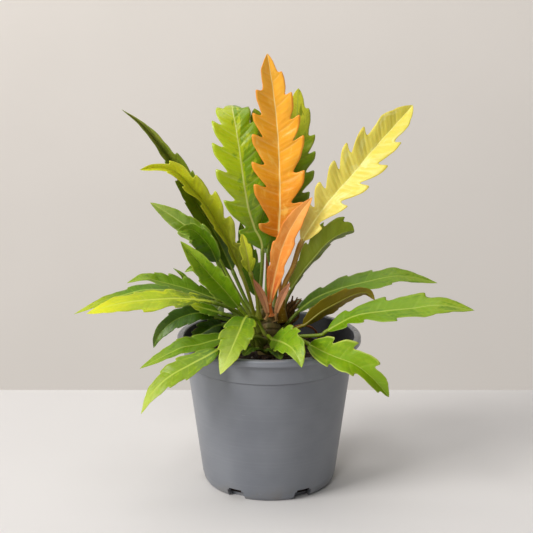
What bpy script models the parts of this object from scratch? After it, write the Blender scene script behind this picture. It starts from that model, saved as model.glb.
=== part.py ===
"""Potted philodendron: a nursery pot of soil with a short-stemmed plant of long, saw-edged leaves.

Metres, +Z up, front towards -Y. The pot stands on z = 0 with its axis on the Z axis.
"""

import bmesh
import bpy
import numpy as np
from mathutils import Vector

MM = 0.001

# --- pot -------------------------------------------------------------------------------------
POT_HEIGHT = 157 * MM
RIM_RADIUS = 95 * MM
RIM_WIDTH = 7.5 * MM
RIM_DEPTH = 6.5 * MM
RIM_OVERHANG = 6.0 * MM
COLLAR_TAPER = 1.6 * MM
RIDGE_BELOW_RIM = 26 * MM
RIDGE_STEP = 2.0 * MM
FOOT_INSET = 30.5 * MM
CORNER_SWELL = 5.5 * MM
CORNER_HEIGHT = 11 * MM
COLLAR_RADIUS = RIM_RADIUS - RIM_OVERHANG
RIDGE_RADIUS = COLLAR_RADIUS - COLLAR_TAPER
RIDGE_HEIGHT = POT_HEIGHT - RIDGE_BELOW_RIM
BASE_RADIUS = RIM_RADIUS - FOOT_INSET
CORNER_RADIUS = BASE_RADIUS + CORNER_SWELL
WALL = 1.8 * MM
FLOOR = 3.0 * MM
SLOTS = 6
SLOT_WIDTH = 20 * MM
SLOT_HEIGHT = 10.5 * MM
POT_STEPS = 64

# --- soil and stem ---------------------------------------------------------------------------
GAP = 0.3 * MM
SOIL_BELOW_RIM = 23 * MM
SOIL_TOP = POT_HEIGHT - SOIL_BELOW_RIM
SOIL_MOUND = 4 * MM
SOCKET_DEPTH = 15 * MM
STEM_RADIUS = 12.5 * MM
STEM_TOP_RADIUS = 8.5 * MM
STEM_ABOVE_RIM = 29 * MM
STEM_TIP_LENGTH = 20 * MM
STEM_TOP = POT_HEIGHT + STEM_ABOVE_RIM
STEM_SHOULDER = STEM_TOP - STEM_TIP_LENGTH
STEM_STEPS = 20

# --- leaf sections ---------------------------------------------------------------------------
STALK_HALF = 1.9 * MM
STALK_THICK = 3.2 * MM
BLADE_THICK = 0.9 * MM
EDGE_MIN = 0.25 * MM
POINT_PHASE = 0.78

# The leaf lines are drawn round a pot of this rim radius. With a wider one they spread, by their
# whole share from FAR outwards and not at all nearer to the stem than NEAR.
DRAWN_RADIUS = 95 * MM
SPREAD = RIM_RADIUS / DRAWN_RADIUS
NEAR = 20 * MM
FAR = 60 * MM

# The way an upper face looks.
FRONT = Vector((0.0, -0.97, 0.24))
UP = Vector((0.0, -0.25, 0.97))
BACK = Vector((0.0, 0.95, 0.31))
UNDER = Vector((0.0, 0.80, 0.60))

# --- colours (linear) and roughness ----------------------------------------------------------
FINISHES = {
    "pot_grey": ((0.19, 0.20, 0.22), 0.45),
    "soil": ((0.030, 0.020, 0.013), 0.95),
    "stem": ((0.16, 0.13, 0.045), 0.60),
    "leaf_orange": ((0.86, 0.36, 0.030), 0.38),
    "leaf_salmon": ((0.86, 0.26, 0.075), 0.38),
    "leaf_yellow": ((0.78, 0.62, 0.070), 0.40),
    "leaf_lime": ((0.40, 0.50, 0.030), 0.38),
    "leaf_green": ((0.16, 0.33, 0.020), 0.36),
    "leaf_dark": ((0.045, 0.13, 0.012), 0.34),
    "leaf_olive": ((0.17, 0.18, 0.020), 0.42),
    "sheath": ((0.55, 0.24, 0.16), 0.50),
    "dry": ((0.12, 0.055, 0.025), 0.85),
}


# --- building helpers ------------------------------------------------------------------------
def clear():
    for item in list(bpy.data.objects):
        bpy.data.objects.remove(item, do_unlink=True)


def collection(name, hidden=False):
    made = bpy.data.collections.new(name)
    bpy.context.scene.collection.children.link(made)
    made.hide_render = hidden
    return made


def finish(name):
    found = bpy.data.materials.get(name)
    if found:
        return found
    colour, roughness = FINISHES[name]
    made = bpy.data.materials.new(name)
    made.use_nodes = True
    shader = made.node_tree.nodes["Principled BSDF"]
    shader.inputs["Base Color"].default_value = (*colour, 1.0)
    shader.inputs["Roughness"].default_value = roughness
    shader.inputs["Metallic"].default_value = 0.0
    return made


def own_finish(obj, name):
    material = finish(name).copy()
    material.name = obj.name
    obj.data.materials.append(material)


def smooth(obj):
    for face in obj.data.polygons:
        face.use_smooth = True


def turned(name, profile, steps, group, finish_name):
    """A solid turned about Z. The profile starts and ends on the axis and runs down its outside."""
    mesh = bpy.data.meshes.new(name)
    edges = [(i, i + 1) for i in range(len(profile) - 1)]
    mesh.from_pydata([(r, 0.0, z) for r, z in profile], edges, [])
    obj = bpy.data.objects.new(name, mesh)
    group.objects.link(obj)
    screw = obj.modifiers.new("turn", "SCREW")
    screw.steps = steps
    screw.render_steps = steps
    screw.use_merge_vertices = True
    screw.merge_threshold = 0.00005
    screw.use_smooth_shade = True
    own_finish(obj, finish_name)
    return obj


def cut(obj, cutter):
    step = obj.modifiers.new("cut " + cutter.name, "BOOLEAN")
    step.operation = "DIFFERENCE"
    step.solver = "EXACT"
    step.object = cutter


# --- pot, soil, stem -------------------------------------------------------------------------
def wall_radius(z):
    """Outside radius of the tapered wall between the base corner and the ridge."""
    low = CORNER_RADIUS
    high = RIDGE_RADIUS - RIDGE_STEP
    return low + (high - low) * (z - CORNER_HEIGHT) / (RIDGE_HEIGHT - CORNER_HEIGHT)


def inner_radius(z):
    """Inside radius of the wall between the floor's corner and the ridge."""
    high = RIDGE_HEIGHT - 1.5 * MM
    top = wall_radius(high) - WALL
    low = FLOOR + 7 * MM
    foot = CORNER_RADIUS - WALL - 1.0 * MM
    return foot + (top - foot) * (z - low) / (high - low)


def pot(group, cutters):
    rim_low = POT_HEIGHT - RIM_DEPTH
    inner_rim = RIM_RADIUS - RIM_WIDTH
    under_ridge = RIDGE_HEIGHT - 1.5 * MM
    inside = [
        (0.0, FLOOR),
        (BASE_RADIUS - WALL - 1.5 * MM, FLOOR),
        (inner_radius(FLOOR + 7 * MM), FLOOR + 7 * MM),
        (inner_radius(under_ridge), under_ridge),
        (RIDGE_RADIUS - WALL, RIDGE_HEIGHT + 1.5 * MM),
        (inner_rim - 0.6 * MM, rim_low),
        (inner_rim, POT_HEIGHT - 1.2 * MM),
        (inner_rim + 1.4 * MM, POT_HEIGHT),
    ]
    outside = [
        (RIM_RADIUS - 2.0 * MM, POT_HEIGHT),
        (RIM_RADIUS - 0.5 * MM, POT_HEIGHT - 1.0 * MM),
        (RIM_RADIUS, POT_HEIGHT - 3.0 * MM),
        (RIM_RADIUS - 0.3 * MM, rim_low),
        (COLLAR_RADIUS, rim_low),
        (RIDGE_RADIUS, RIDGE_HEIGHT),
        (wall_radius(under_ridge), under_ridge),
        (CORNER_RADIUS, CORNER_HEIGHT),
        (CORNER_RADIUS - 1.6 * MM, 4.5 * MM),
        (BASE_RADIUS + 1.4 * MM, 0.8 * MM),
        (BASE_RADIUS, 0.0),
        (0.0, 0.0),
    ]
    shell = turned("pot", inside + outside, POT_STEPS, group, "pot_grey")
    for i in range(SLOTS):
        turn = (i + 0.5) * 2 * np.pi / SLOTS - np.pi / 2
        bpy.ops.mesh.primitive_cube_add(size=1.0)
        block = bpy.context.object
        block.name = "drain_slot_%d" % (i + 1)
        reach = 16 * MM
        for vertex in block.data.vertices:
            vertex.co.x = vertex.co.x * reach + BASE_RADIUS + 3 * MM
            vertex.co.y = vertex.co.y * SLOT_WIDTH
            vertex.co.z = vertex.co.z * 2 * SLOT_HEIGHT
        block.rotation_euler[2] = turn
        for owner in list(block.users_collection):
            owner.objects.unlink(block)
        cutters.objects.link(block)
        block.display_type = "WIRE"
        block.hide_render = True
        cut(shell, block)
    return shell


def soil(group):
    """A solid plug of soil with the socket in which the stem stands."""
    socket = STEM_RADIUS + GAP
    low = RIDGE_HEIGHT - 12 * MM
    side_gap = 1.5 * GAP
    edge = inner_radius(low) - 0.4 * MM
    profile = [
        (0.0, SOIL_TOP + SOIL_MOUND - SOCKET_DEPTH),
        (socket, SOIL_TOP + SOIL_MOUND - SOCKET_DEPTH),
        (socket, SOIL_TOP + SOIL_MOUND),
        (STEM_RADIUS * 2.2, SOIL_TOP + SOIL_MOUND * 0.6),
        (STEM_RADIUS * 3.6, SOIL_TOP - 0.5 * MM),
        (STEM_RADIUS * 5.0, SOIL_TOP + 0.8 * MM),
        (edge, SOIL_TOP - 1.0 * MM),
        (inner_radius(low) - side_gap, low),
        (inner_radius(FLOOR + 8 * MM) - side_gap, FLOOR + 8 * MM),
        (BASE_RADIUS - WALL - 2.5 * MM, FLOOR + GAP),
        (0.0, FLOOR + GAP),
    ]
    return turned("soil", profile, 40, group, "soil")


def stem(group):
    foot = SOIL_TOP + SOIL_MOUND - SOCKET_DEPTH + GAP
    profile = [
        (0.0, STEM_TOP),
        (STEM_TOP_RADIUS * 0.55, STEM_TOP - 0.8 * MM),
        (STEM_TOP_RADIUS, STEM_TOP - 5 * MM),
        (STEM_RADIUS - 0.8 * MM, STEM_SHOULDER),
        (STEM_RADIUS - 0.2 * MM, STEM_SHOULDER - 8 * MM),
        (STEM_RADIUS - 1.0 * MM, STEM_SHOULDER - 14 * MM),
        (STEM_RADIUS, STEM_SHOULDER - 22 * MM),
        (STEM_RADIUS, foot),
        (0.0, foot),
    ]
    return turned("stem", profile, STEM_STEPS, group, "stem")


# --- leaves ----------------------------------------------------------------------------------
class Line:
    """A smooth line through points, measured along its length."""

    def __init__(self, points, per_span=16):
        knots = [Vector(p) for p in points]
        ends = [knots[0] * 2 - knots[1]] + knots + [knots[-1] * 2 - knots[-2]]
        self.points = []
        for i in range(len(knots) - 1):
            for j in range(per_span):
                self.points.append(self.spline(ends[i:i + 4], j / per_span))
        self.points.append(knots[-1])
        self.reach = [0.0]
        for a, b in zip(self.points, self.points[1:]):
            self.reach.append(self.reach[-1] + (b - a).length)
        self.length = self.reach[-1]
        self.knots = [self.reach[per_span * i] for i in range(len(knots))]

    @staticmethod
    def spline(p, f):
        a = p[1] * 2
        b = (p[2] - p[0]) * f
        c = (p[0] * 2 - p[1] * 5 + p[2] * 4 - p[3]) * f ** 2
        d = (p[1] * 3 - p[0] - p[2] * 3 + p[3]) * f ** 3
        return (a + b + c + d) * 0.5

    def at(self, s):
        s = min(max(s, 0.0), self.length)
        return Vector([np.interp(s, self.reach, [p[k] for p in self.points]) for k in range(3)])

    def frame(self, s, facing, step=4 * MM):
        along = (self.at(s + step) - self.at(s - step)).normalized()
        face = (facing - along * facing.dot(along)).normalized()
        return along, face, along.cross(face)


def envelope(t, foot, peak, taper):
    """Half-width of a blade without its lobes, from 0 to 1, at t along the midrib.

    taper draws the tip: 1 is a straight point and 2 or more a blunt end.
    """
    if t < peak:
        return foot + (1 - foot) * np.sin(t / peak * np.pi / 2)
    x = (t - peak) / (1 - peak)
    return (1 - x ** taper) ** 0.9 * (1 - 0.25 * x)


def spaced(count, last):
    """Places for the points of the lobes of both halves, spread along the blade as far as last."""
    points = tuple(last * ((i + POINT_PHASE) / count) ** 0.92 for i in range(count))
    return points, points


def margin_rows(points, notch):
    """Stations along one margin, each with the share of the envelope that it reaches.

    points says where the lobes' points stand along the midrib, and notch how deep the cuts between
    them are at the foot and at the tip of the blade.
    """
    cuts = [0.0]
    for here, after in zip(points, points[1:]):
        cuts.append(here + (1 - POINT_PHASE) * (after - here))
    before = points[-2] if len(points) > 1 else 0.0
    cuts.append(points[-1] + (1 - POINT_PHASE) * (points[-1] - before))
    depths = [np.interp(cut_place, (0.0, 1.0), notch) for cut_place in cuts]
    depths[0] *= 0.6
    rows = []
    for i, point in enumerate(points):
        rows.append((cuts[i], 1 - depths[i]))
        rows.append((cuts[i] + (point - cuts[i]) * 0.45, 1 - depths[i] * 0.35))
        rows.append((point, 1.0))
        rows.append((point + (cuts[i + 1] - point) * 0.5, 1 - depths[i + 1] * 0.6))
    last = cuts[-1]
    rows.append((last, 1 - depths[-1]))
    rows.append((last + (1 - last) * 0.25, 1 - depths[-1] * 0.2))
    rows.append((last + (1 - last) * 0.6, 1.0))
    rows.append((1.0, 1.0))
    return rows


def standing(spot):
    """A point in metres from one in millimetres whose height counts from the pot's rim."""
    x, y, height = (value * MM for value in spot)
    share = np.interp(np.hypot(x, y), (NEAR, FAR), (1.0, SPREAD))
    return Vector((x * share, y * share, height + POT_HEIGHT))


class Leaf:
    """One leaf: a stalk from the stem and a lobed blade, grown as one piece.

    root is its (bearing in degrees, height) on the stem, line the points in millimetres that its
    stalk and midrib pass through, stalk how many of those points belong to the stalk, half the
    half-width of the blade, and left and right how far each half is folded towards the upper face
    at the foot, middle and tip. Heights count from the pot's rim.
    """

    def __init__(self, name, colour, root, line, half, left, right, **shape):
        self.name = name
        self.colour = colour
        bearing, height = root
        out = STEM_RADIUS + shape.get("clear", 2.0) * MM
        turn = np.radians(bearing)
        start = Vector((out * np.cos(turn), out * np.sin(turn), height * MM + POT_HEIGHT))
        self.line = Line([start] + [standing(spot) for spot in line])
        self.stalk = shape.get("stalk", 2)
        self.half = half * MM
        self.left = left
        self.right = right
        self.teeth = shape.get("teeth", spaced(5, 0.8))
        self.notch = shape.get("notch", (0.3, 0.2))
        self.foot = shape.get("foot", 0.32)
        self.peak = shape.get("peak", 0.35)
        self.taper = shape.get("taper", 2.2)
        self.facing = shape.get("facing", FRONT)
        self.scale = shape.get("scale", (1.0, 1.0))
        self.stalk_half = shape.get("stalk_half", STALK_HALF)

    def stations(self):
        """Rows of (left, middle, right) points and their thickness share."""
        line = self.line
        blade_start = line.knots[self.stalk]
        blade = line.length - blade_start
        rows = []
        for share in (0.0, 0.25, 0.5, 0.75):
            s = blade_start * share
            _, _, side = line.frame(s, self.facing)
            here = line.at(s)
            rows.append((here - side * self.stalk_half, here, here + side * self.stalk_half, 1.0))
        margins = [margin_rows(points, self.notch) for points in self.teeth]
        for stations in zip(*margins):
            t = (stations[0][0] + stations[1][0]) / 2
            here = line.at(blade_start + t * blade)
            halves = zip((-1, 1), stations, (self.left, self.right), self.scale)
            ends = [self.margin_point(blade_start, *half) for half in halves]
            thick = 1.0 + (BLADE_THICK / STALK_THICK - 1.0) * min(1.0, 0.35 + t * 8)
            rows.append((ends[0], here, ends[1], thick))
        return rows

    def margin_point(self, blade_start, sign, station, folds, scale):
        """Where one half's margin lies at a station: sign is -1 on the left and 1 on the right."""
        t, share = station
        line = self.line
        width = self.half * envelope(t, self.foot, self.peak, self.taper) * share
        reach = max(width * scale, EDGE_MIN + self.stalk_half * (1 - t) * 0.8)
        s = blade_start + t * (line.length - blade_start) + reach * (0.15 + 0.8 * t)
        _, face, side = line.frame(s, self.facing)
        fold = np.radians(np.interp(t, (0.0, 0.5, 1.0), folds))
        return line.at(s) + (side * sign * np.cos(fold) + face * np.sin(fold)) * reach

    def build(self, group):
        rows = self.stations()
        mesh = bpy.data.meshes.new(self.name)
        net = bmesh.new()
        bmesh.ops.create_grid(net, x_segments=2, y_segments=len(rows) - 1, size=1.0)
        order = sorted(net.verts, key=lambda v: (round(v.co.y, 6), v.co.x))
        places = [p for row in rows for p in row[:3]]
        shares = [row[3] for row in rows for _ in range(3)]
        for vertex, place in zip(order, places):
            vertex.co = place
        net.verts.index_update()
        weights = [(v.index, share) for v, share in zip(order, shares)]
        net.to_mesh(mesh)
        net.free()
        obj = bpy.data.objects.new(self.name, mesh)
        group.objects.link(obj)
        thickness = obj.vertex_groups.new(name="thickness")
        for index, share in weights:
            thickness.add([index], share, "REPLACE")
        shell = obj.modifiers.new("body", "SOLIDIFY")
        shell.thickness = STALK_THICK
        shell.offset = 0.0
        shell.vertex_group = "thickness"
        own_finish(obj, self.colour)
        smooth(obj)
        return obj


LEAVES = [
    # upright leaves
    Leaf("leaf_orange_tall", "leaf_orange", (35, 23),
         [(10, 6, 100), (11, 6, 139), (9, 6, 200), (4, 1, 249), (-2, -10, 287)],
         28.5, (12, 15, 20), (20, 20, 30), stalk=1, teeth=((0.04, 0.235, 0.34, 0.485, 0.6, 0.74),
         (0.15, 0.295, 0.46, 0.565, 0.7, 0.84)), notch=(0.62, 0.25), foot=0.78, peak=0.40),
    Leaf("leaf_salmon_young", "leaf_salmon", (-78, 23),
         [(1, -17, 37), (6, -21, 68), (14, -26, 100), (27, -32, 128), (42, -37, 150)],
         11.5, (20, 20, 20), (20, 20, 20), stalk=1, teeth=((0.28, 0.47), (0.27, 0.52)), notch=(0.32, 0.08),
         foot=0.25, peak=0.5),
    Leaf("leaf_yellow_right", "leaf_yellow", (-20, 15),
         [(15, -18, 54), (24, -20, 76), (33, -22, 103), (56, -26, 140), (83, -26, 172), (101, -24, 194),
          (141, -12, 237)],
         25, (15, 15, 15), (42, 32, 40), stalk=3, teeth=((0.17, 0.275, 0.395, 0.5, 0.62),
         (0.11, 0.275, 0.41, 0.54, 0.69)), notch=(0.62, 0.22), peak=0.5, stalk_half=2.6 * MM),
    Leaf("leaf_lime_left", "leaf_lime", (135, 24),
         [(-7, 10, 87), (-15, 10, 110), (-21, 9, 130), (-26, 9, 159), (-30, 13, 189), (-34, 20, 213),
          (-37, 29, 227), (-38, 41, 231)],
         28, (10, 10, 10), (0, -5, -5), stalk=1, teeth=((0.13, 0.29, 0.45, 0.6, 0.74, 0.87),
         (0.12, 0.26, 0.42, 0.57, 0.72, 0.86)), notch=(0.62, 0.28), taper=3, foot=0.4, peak=0.55),
    Leaf("leaf_dark_upright", "leaf_dark", (105, 23),
         [(-1, 27, 83), (0, 32, 134), (-5, 36, 181), (-11, 34, 212), (-15, 32, 229)],
         26, (0, 0, 0), (0, 0, 0), stalk=1, teeth=spaced(5, 0.8), notch=(0.42, 0.25), foot=0.45),
    Leaf("leaf_green_upright", "leaf_green", (70, 22),
         [(14, 36, 95), (20, 44, 146), (27, 48, 196), (30, 46, 248)],
         25, (0, 0, 0), (0, 0, 0), stalk=1, teeth=((0.22, 0.38, 0.52, 0.66, 0.8),
         (0.25, 0.38, 0.5, 0.6, 0.8)), notch=(0.45, 0.22), foot=0.4),
    # upper left
    Leaf("leaf_dark_folded", "leaf_dark", (165, 17),
         [(-24, 10, 33), (-38, 14, 64), (-57, 22, 103), (-75, 28, 131), (-93, 32, 163), (-112, 34, 190),
          (-129, 34, 211), (-150, 32, 228)],
         21.5, (40, 70, 74), (16, 46, 74), teeth=spaced(5, 0.62), notch=(0.3, 0.1), taper=1.8),
    Leaf("leaf_curled_yellow", "leaf_yellow", (200, 15),
         [(-22, -14, 50), (-29, -18, 71), (-41, -22, 101), (-53, -26, 123), (-64, -30, 143),
          (-76, -33, 158), (-90, -35, 174), (-108, -36, 179), (-126, -36, 177)],
         19, (75, 75, 50), (20, 30, 60), teeth=spaced(5, 0.8), notch=(0.5, 0.3), peak=0.4),
    Leaf("leaf_small_curled", "leaf_lime", (224, 18),
         [(-13, -11, 46), (-19, -22, 71), (-22, -30, 91), (-27, -34, 113)],
         8, (20, 20, 20), (20, 20, 20), teeth=spaced(2, 0.7), notch=(0.4, 0.2)),
    Leaf("leaf_pale_left", "leaf_green", (184, 11),
         [(-35, -3, 49), (-52, -3, 81), (-67, -3, 101), (-84, -2, 114), (-101, -1, 126), (-120, -1, 138)],
         13, (20, 20, 20), (20, 20, 20), teeth=spaced(3, 0.5), notch=(0.18, 0.06), taper=1.75),
    Leaf("leaf_folded_left", "leaf_green", (215, 9),
         [(-27, -14, 28), (-44, -22, 65), (-52, -26, 83), (-58, -29, 97), (-67, -31, 109), (-77, -33, 117),
          (-90, -34, 116)],
         16, (30, 30, 30), (55, 55, 55), stalk=3, teeth=spaced(4, 0.7), notch=(0.18, 0.08), taper=1.75),
    Leaf("leaf_light_left", "leaf_lime", (231, 6),
         [(-19, -20, 21), (-31, -26, 36), (-45, -32, 55), (-59, -37, 72), (-71, -42, 88), (-87, -46, 108)],
         16.5, (40, 40, 40), (40, 40, 40), teeth=spaced(3, 0.5), notch=(0.14, 0.06), taper=1.75),
    Leaf("leaf_tip_left", "leaf_green", (150, 9),
         [(-31, 8, 27), (-48, 10, 47), (-68, 11, 61), (-78, 11, 67), (-87, 11, 63)],
         7, (20, 20, 20), (20, 20, 20), teeth=spaced(2, 0.5), notch=(0.12, 0.06), taper=1.75),
    Leaf("leaf_hooked_left", "leaf_olive", (142, 1),
         [(-40, 18, 29), (-64, 18, 38), (-82, 17, 49), (-90, 16, 59), (-99, 15, 66)],
         4, (20, 20, 20), (20, 20, 20), teeth=spaced(2, 0.5), notch=(0.2, 0.1), taper=1.75,
         stalk_half=1.2 * MM),
    # lower left
    Leaf("leaf_upper_left", "leaf_green", (176, 1),
         [(-30, 4, 27), (-56, 4, 36), (-81, 2, 46), (-111, 0, 55), (-127, -2, 59), (-145, -4, 55)],
         14.5, (65, 68, 66), (-35, -35, -35), teeth=spaced(4, 0.66), notch=(0.34, 0.1), taper=1.75,
         scale=(0.65, 1.0)),
    Leaf("leaf_yellow_left", "leaf_yellow", (196, 1),
         [(-30, -8, 24), (-58, -20, 39), (-87, -25, 44), (-115, -28, 44), (-142, -31, 42), (-162, -33, 38),
          (-183, -34, 31)],
         17, (50, 48, 50), (-50, -52, -50), teeth=((0.1, 0.24, 0.46), (0.14, 0.3, 0.52)),
         notch=(0.34, 0.08), taper=1.75, peak=0.45),
    Leaf("leaf_behind_left", "leaf_green", (160, -5),
         [(-46, 20, 25), (-83, 26, 36), (-125, 30, 39), (-152, 32, 33), (-178, 32, 25), (-206, 32, 12)],
         11, (50, 50, 50), (-50, -50, -50), teeth=spaced(3, 0.5), notch=(0.15, 0.06), taper=1.75),
    Leaf("leaf_small_yellow", "leaf_lime", (222, 1),
         [(-27, -18, 19), (-50, -34, 32), (-78, -44, 43)],
         7, (30, 30, 30), (-30, -30, -30), teeth=spaced(2, 0.6), notch=(0.25, 0.1), taper=1.75),
    Leaf("leaf_drooping_left", "leaf_dark", (211, -7),
         [(-30, -20, 15), (-55, -29, 27), (-70, -34, 32), (-89, -37, 28), (-103, -39, 19), (-112, -40, 8),
          (-116, -40, -3)],
         12, (35, 35, 35), (35, 35, 35), teeth=spaced(3, 0.5), notch=(0.16, 0.06), taper=1.75),
    Leaf("leaf_inner_dark", "leaf_dark", (190, -14),
         [(-24, -6, 6), (-48, -18, 15), (-64, -24, 10), (-80, -28, -1)],
         12, (20, 20, 20), (20, 20, 20), teeth=spaced(3, 0.7), notch=(0.34, 0.15), taper=1.6, clear=2.4),
    Leaf("leaf_front_left", "leaf_green", (229, -11),
         [(-19, -21, 8), (-37, -36, 8), (-57, -50, 7), (-71, -60, 6), (-85, -68, 6), (-99, -74, 1),
          (-126, -82, -11)],
         13.5, (62, 62, 62), (-40, -40, -40), teeth=spaced(3, 0.52), notch=(0.16, 0.06), taper=1.75),
    Leaf("leaf_front_low", "leaf_lime", (250, -5),
         [(-13, -29, 5), (-31, -50, 6), (-50, -76, 6), (-62, -86, 2), (-78, -92, -5), (-98, -96, -16),
          (-115, -99, -33), (-124, -100, -51)],
         14, (40, 40, 50), (-30, -35, -60), stalk=3, teeth=spaced(3, 0.55), notch=(0.22, 0.08), taper=1.75),
    # front
    Leaf("leaf_front_arched", "leaf_green", (254, 3),
         [(-13, -25, 23), (-23, -45, 30), (-30, -70, 21), (-38, -90, 7), (-47, -100, -11)],
         18, (10, 10, 10), (10, 10, 10), teeth=((0.16, 0.34, 0.5), (0.22, 0.42, 0.58)), notch=(0.24, 0.06),
         taper=1.4, foot=0.6, facing=UP),
    Leaf("leaf_front_small", "leaf_green", (-84, -6),
         [(-1, -24, 5), (3, -40, 6), (13, -64, 10), (22, -84, 10), (27, -94, 5), (31, -100, -4)],
         21, (50, 50, 50), (-40, -25, 0), teeth=((0.1, 0.26, 0.46), (0.16, 0.34, 0.54)), notch=(0.26, 0.08),
         taper=1.4, foot=0.5, facing=UP, scale=(1.0, 0.6)),
    Leaf("leaf_front_large", "leaf_green", (-58, -7),
         [(16, -26, 11), (29, -45, 9), (40, -62, 7), (53, -76, 4), (66, -86, 1), (82, -94, -3),
          (99, -100, -15), (115, -102, -33)],
         22.5, (20, 15, 15), (60, 58, 55), stalk=3, teeth=((0.2, 0.38, 0.6), (0.26, 0.48, 0.8)),
         notch=(0.46, 0.26), taper=1.6),
    # right
    Leaf("leaf_low_right", "leaf_green", (-35, -5),
         [(26, -18, 2), (52, -22, 5), (59, -24, 10), (85, -28, 26), (111, -31, 32), (141, -34, 36),
          (171, -36, 40), (205, -36, 35)],
         20, (-40, -42, -42), (62, 58, 56), stalk=3, teeth=((0.13, 0.35, 0.6), (0.12, 0.22, 0.41)),
         notch=(0.52, 0.06), taper=1.75, peak=0.45),
    Leaf("leaf_high_right", "leaf_green", (20, 3),
         [(20, 4, 11), (30, 8, 21), (46, 12, 33), (68, 16, 42), (100, 19, 50), (136, 21, 56), (175, 20, 49)],
         17.5, (-45, -48, -50), (55, 58, 58), teeth=((0.18, 0.34, 0.5), (0.24, 0.42, 0.6)),
         notch=(0.32, 0.06), taper=1.75, peak=0.45),
    Leaf("leaf_olive_low", "leaf_olive", (-5, -3),
         [(21, -6, 5), (35, -10, 12), (53, -12, 27), (70, -12, 37), (87, -10, 45), (100, -9, 46),
          (108, -8, 38)],
         13.5, (10, 10, 10), (10, 10, 10), teeth=spaced(3, 0.6), notch=(0.14, 0.08), taper=1.75,
         facing=UNDER),
    Leaf("leaf_olive_high", "leaf_olive", (8, 15),
         [(16, 5, 29), (23, 8, 45), (35, 10, 64), (47, 11, 79), (59, 12, 93), (73, 12, 103), (87, 12, 107)],
         19.5, (58, 54, 40), (35, 26, 24), teeth=((0.15, 0.32, 0.52, 0.74), (0.22, 0.4, 0.6, 0.78)),
         notch=(0.34, 0.16), taper=2.6, peak=0.6, facing=BACK),
    # small leaves low at the front and larger ones at the back
    Leaf("leaf_low_middle", "leaf_dark", (272, -15),
         [(-1, -30, -8), (4, -44, -4), (8, -58, -2), (11, -72, -5)],
         11, (10, 10, 10), (10, 10, 10), stalk=1, teeth=spaced(3, 0.72), notch=(0.3, 0.15), taper=1.75,
         facing=UP, clear=2.6),
    Leaf("leaf_low_front", "leaf_dark", (252, -15),
         [(-12, -30, -7), (-19, -44, -3), (-25, -60, -5)],
         9, (10, 10, 10), (10, 10, 10), stalk=1, teeth=spaced(2, 0.62), notch=(0.3, 0.15), taper=1.75,
         facing=UP, clear=2.6),
    Leaf("leaf_behind_stalks", "leaf_green", (118, 16),
         [(-12, 22, 34), (-19, 30, 58), (-25, 35, 84), (-30, 38, 110)],
         13, (10, 10, 10), (10, 10, 10), stalk=1, teeth=spaced(4, 0.72), notch=(0.3, 0.12), taper=1.6),
    Leaf("leaf_back_high", "leaf_dark", (88, 11),
         [(3, 28, 41), (6, 50, 65), (8, 80, 75), (8, 110, 65), (6, 132, 41)],
         20, (15, 15, 15), (15, 15, 15), teeth=spaced(5, 0.72), notch=(0.46, 0.2), facing=UP),
    Leaf("leaf_back_left", "leaf_green", (125, -1),
         [(-20, 26, 15), (-36, 48, 19), (-50, 76, 13), (-60, 104, -9), (-64, 120, -39)],
         17, (15, 15, 15), (15, 15, 15), teeth=spaced(4, 0.68), notch=(0.42, 0.18), taper=1.75, facing=UP),
    Leaf("leaf_back_right", "leaf_green", (50, -1),
         [(18, 26, 13), (32, 46, 17), (44, 72, 11), (54, 98, -11), (58, 112, -39)],
         17, (15, 15, 15), (15, 15, 15), teeth=spaced(4, 0.68), notch=(0.42, 0.18), taper=1.75, facing=UP),
    # thin sheaths round the youngest leaf, and the dry foot of an old one
    Leaf("sheath_left", "sheath", (-106, 19),
         [(-2, -19, 27), (-7, -22, 46), (-16, -27, 65)],
         4.2, (20, 20, 20), (20, 20, 20), stalk=1, teeth=spaced(1, 0.8), notch=(0, 0), foot=0.55, peak=0.5,
         stalk_half=1.3 * MM),
    Leaf("sheath_right", "sheath", (-58, 17),
         [(7, -19, 27), (12, -23, 44), (21, -25, 61)],
         4.0, (20, 20, 20), (20, 20, 20), stalk=1, teeth=spaced(1, 0.8), notch=(0, 0), foot=0.55, peak=0.5,
         stalk_half=1.3 * MM),
    Leaf("sheath_strip", "sheath", (-114, 29),
         [(-1, -12, 43), (-1, -12, 63), (-3, -11, 86)],
         2.2, (20, 20, 20), (20, 20, 20), stalk=1, teeth=spaced(1, 0.8), notch=(0, 0), foot=0.6,
         stalk_half=1.3 * MM),
    Leaf("dry_leaf_foot", "dry", (38, 7),
         [(21, 18, 15), (25, 22, 25), (29, 24, 36)],
         6, (30, 30, 30), (30, 30, 30), stalk=1, teeth=spaced(3, 0.86), notch=(0.5, 0.5), foot=0.9),
]

# The middle line of the bare root that arches from the stem down to the soil, in millimetres.
AERIAL_ROOT = [(15, 12, -7), (24, 18, 0), (36, 28, 1), (48, 40, -7), (53, 46, -19)]
AERIAL_RADIUS = 1.3 * MM


def aerial_root(group):
    curve = bpy.data.curves.new("aerial_root", "CURVE")
    curve.dimensions = "3D"
    curve.resolution_u = 5
    curve.bevel_depth = AERIAL_RADIUS
    curve.bevel_resolution = 2
    curve.use_fill_caps = True
    line = Line([standing(spot) for spot in AERIAL_ROOT], per_span=4)
    strand = curve.splines.new("POLY")
    strand.points.add(len(line.points) - 1)
    for point, place in zip(strand.points, line.points):
        point.co = (*place, 1.0)
    obj = bpy.data.objects.new("aerial_root", curve)
    group.objects.link(obj)
    own_finish(obj, "dry")
    return obj


def main():
    clear()
    parts = collection("potted_philodendron")
    cutters = collection("cutters", hidden=True)
    pot(parts, cutters)
    soil(parts)
    stem(parts)
    for leaf in LEAVES:
        leaf.build(parts)
    aerial_root(parts)


main()
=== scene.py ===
"""Looks of the potted philodendron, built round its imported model.

Metres, +Z up, front towards -Y. Leaf sizes are written in millimetres, with heights counted from
the pot's rim, and turned into metres once.
"""

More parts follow.
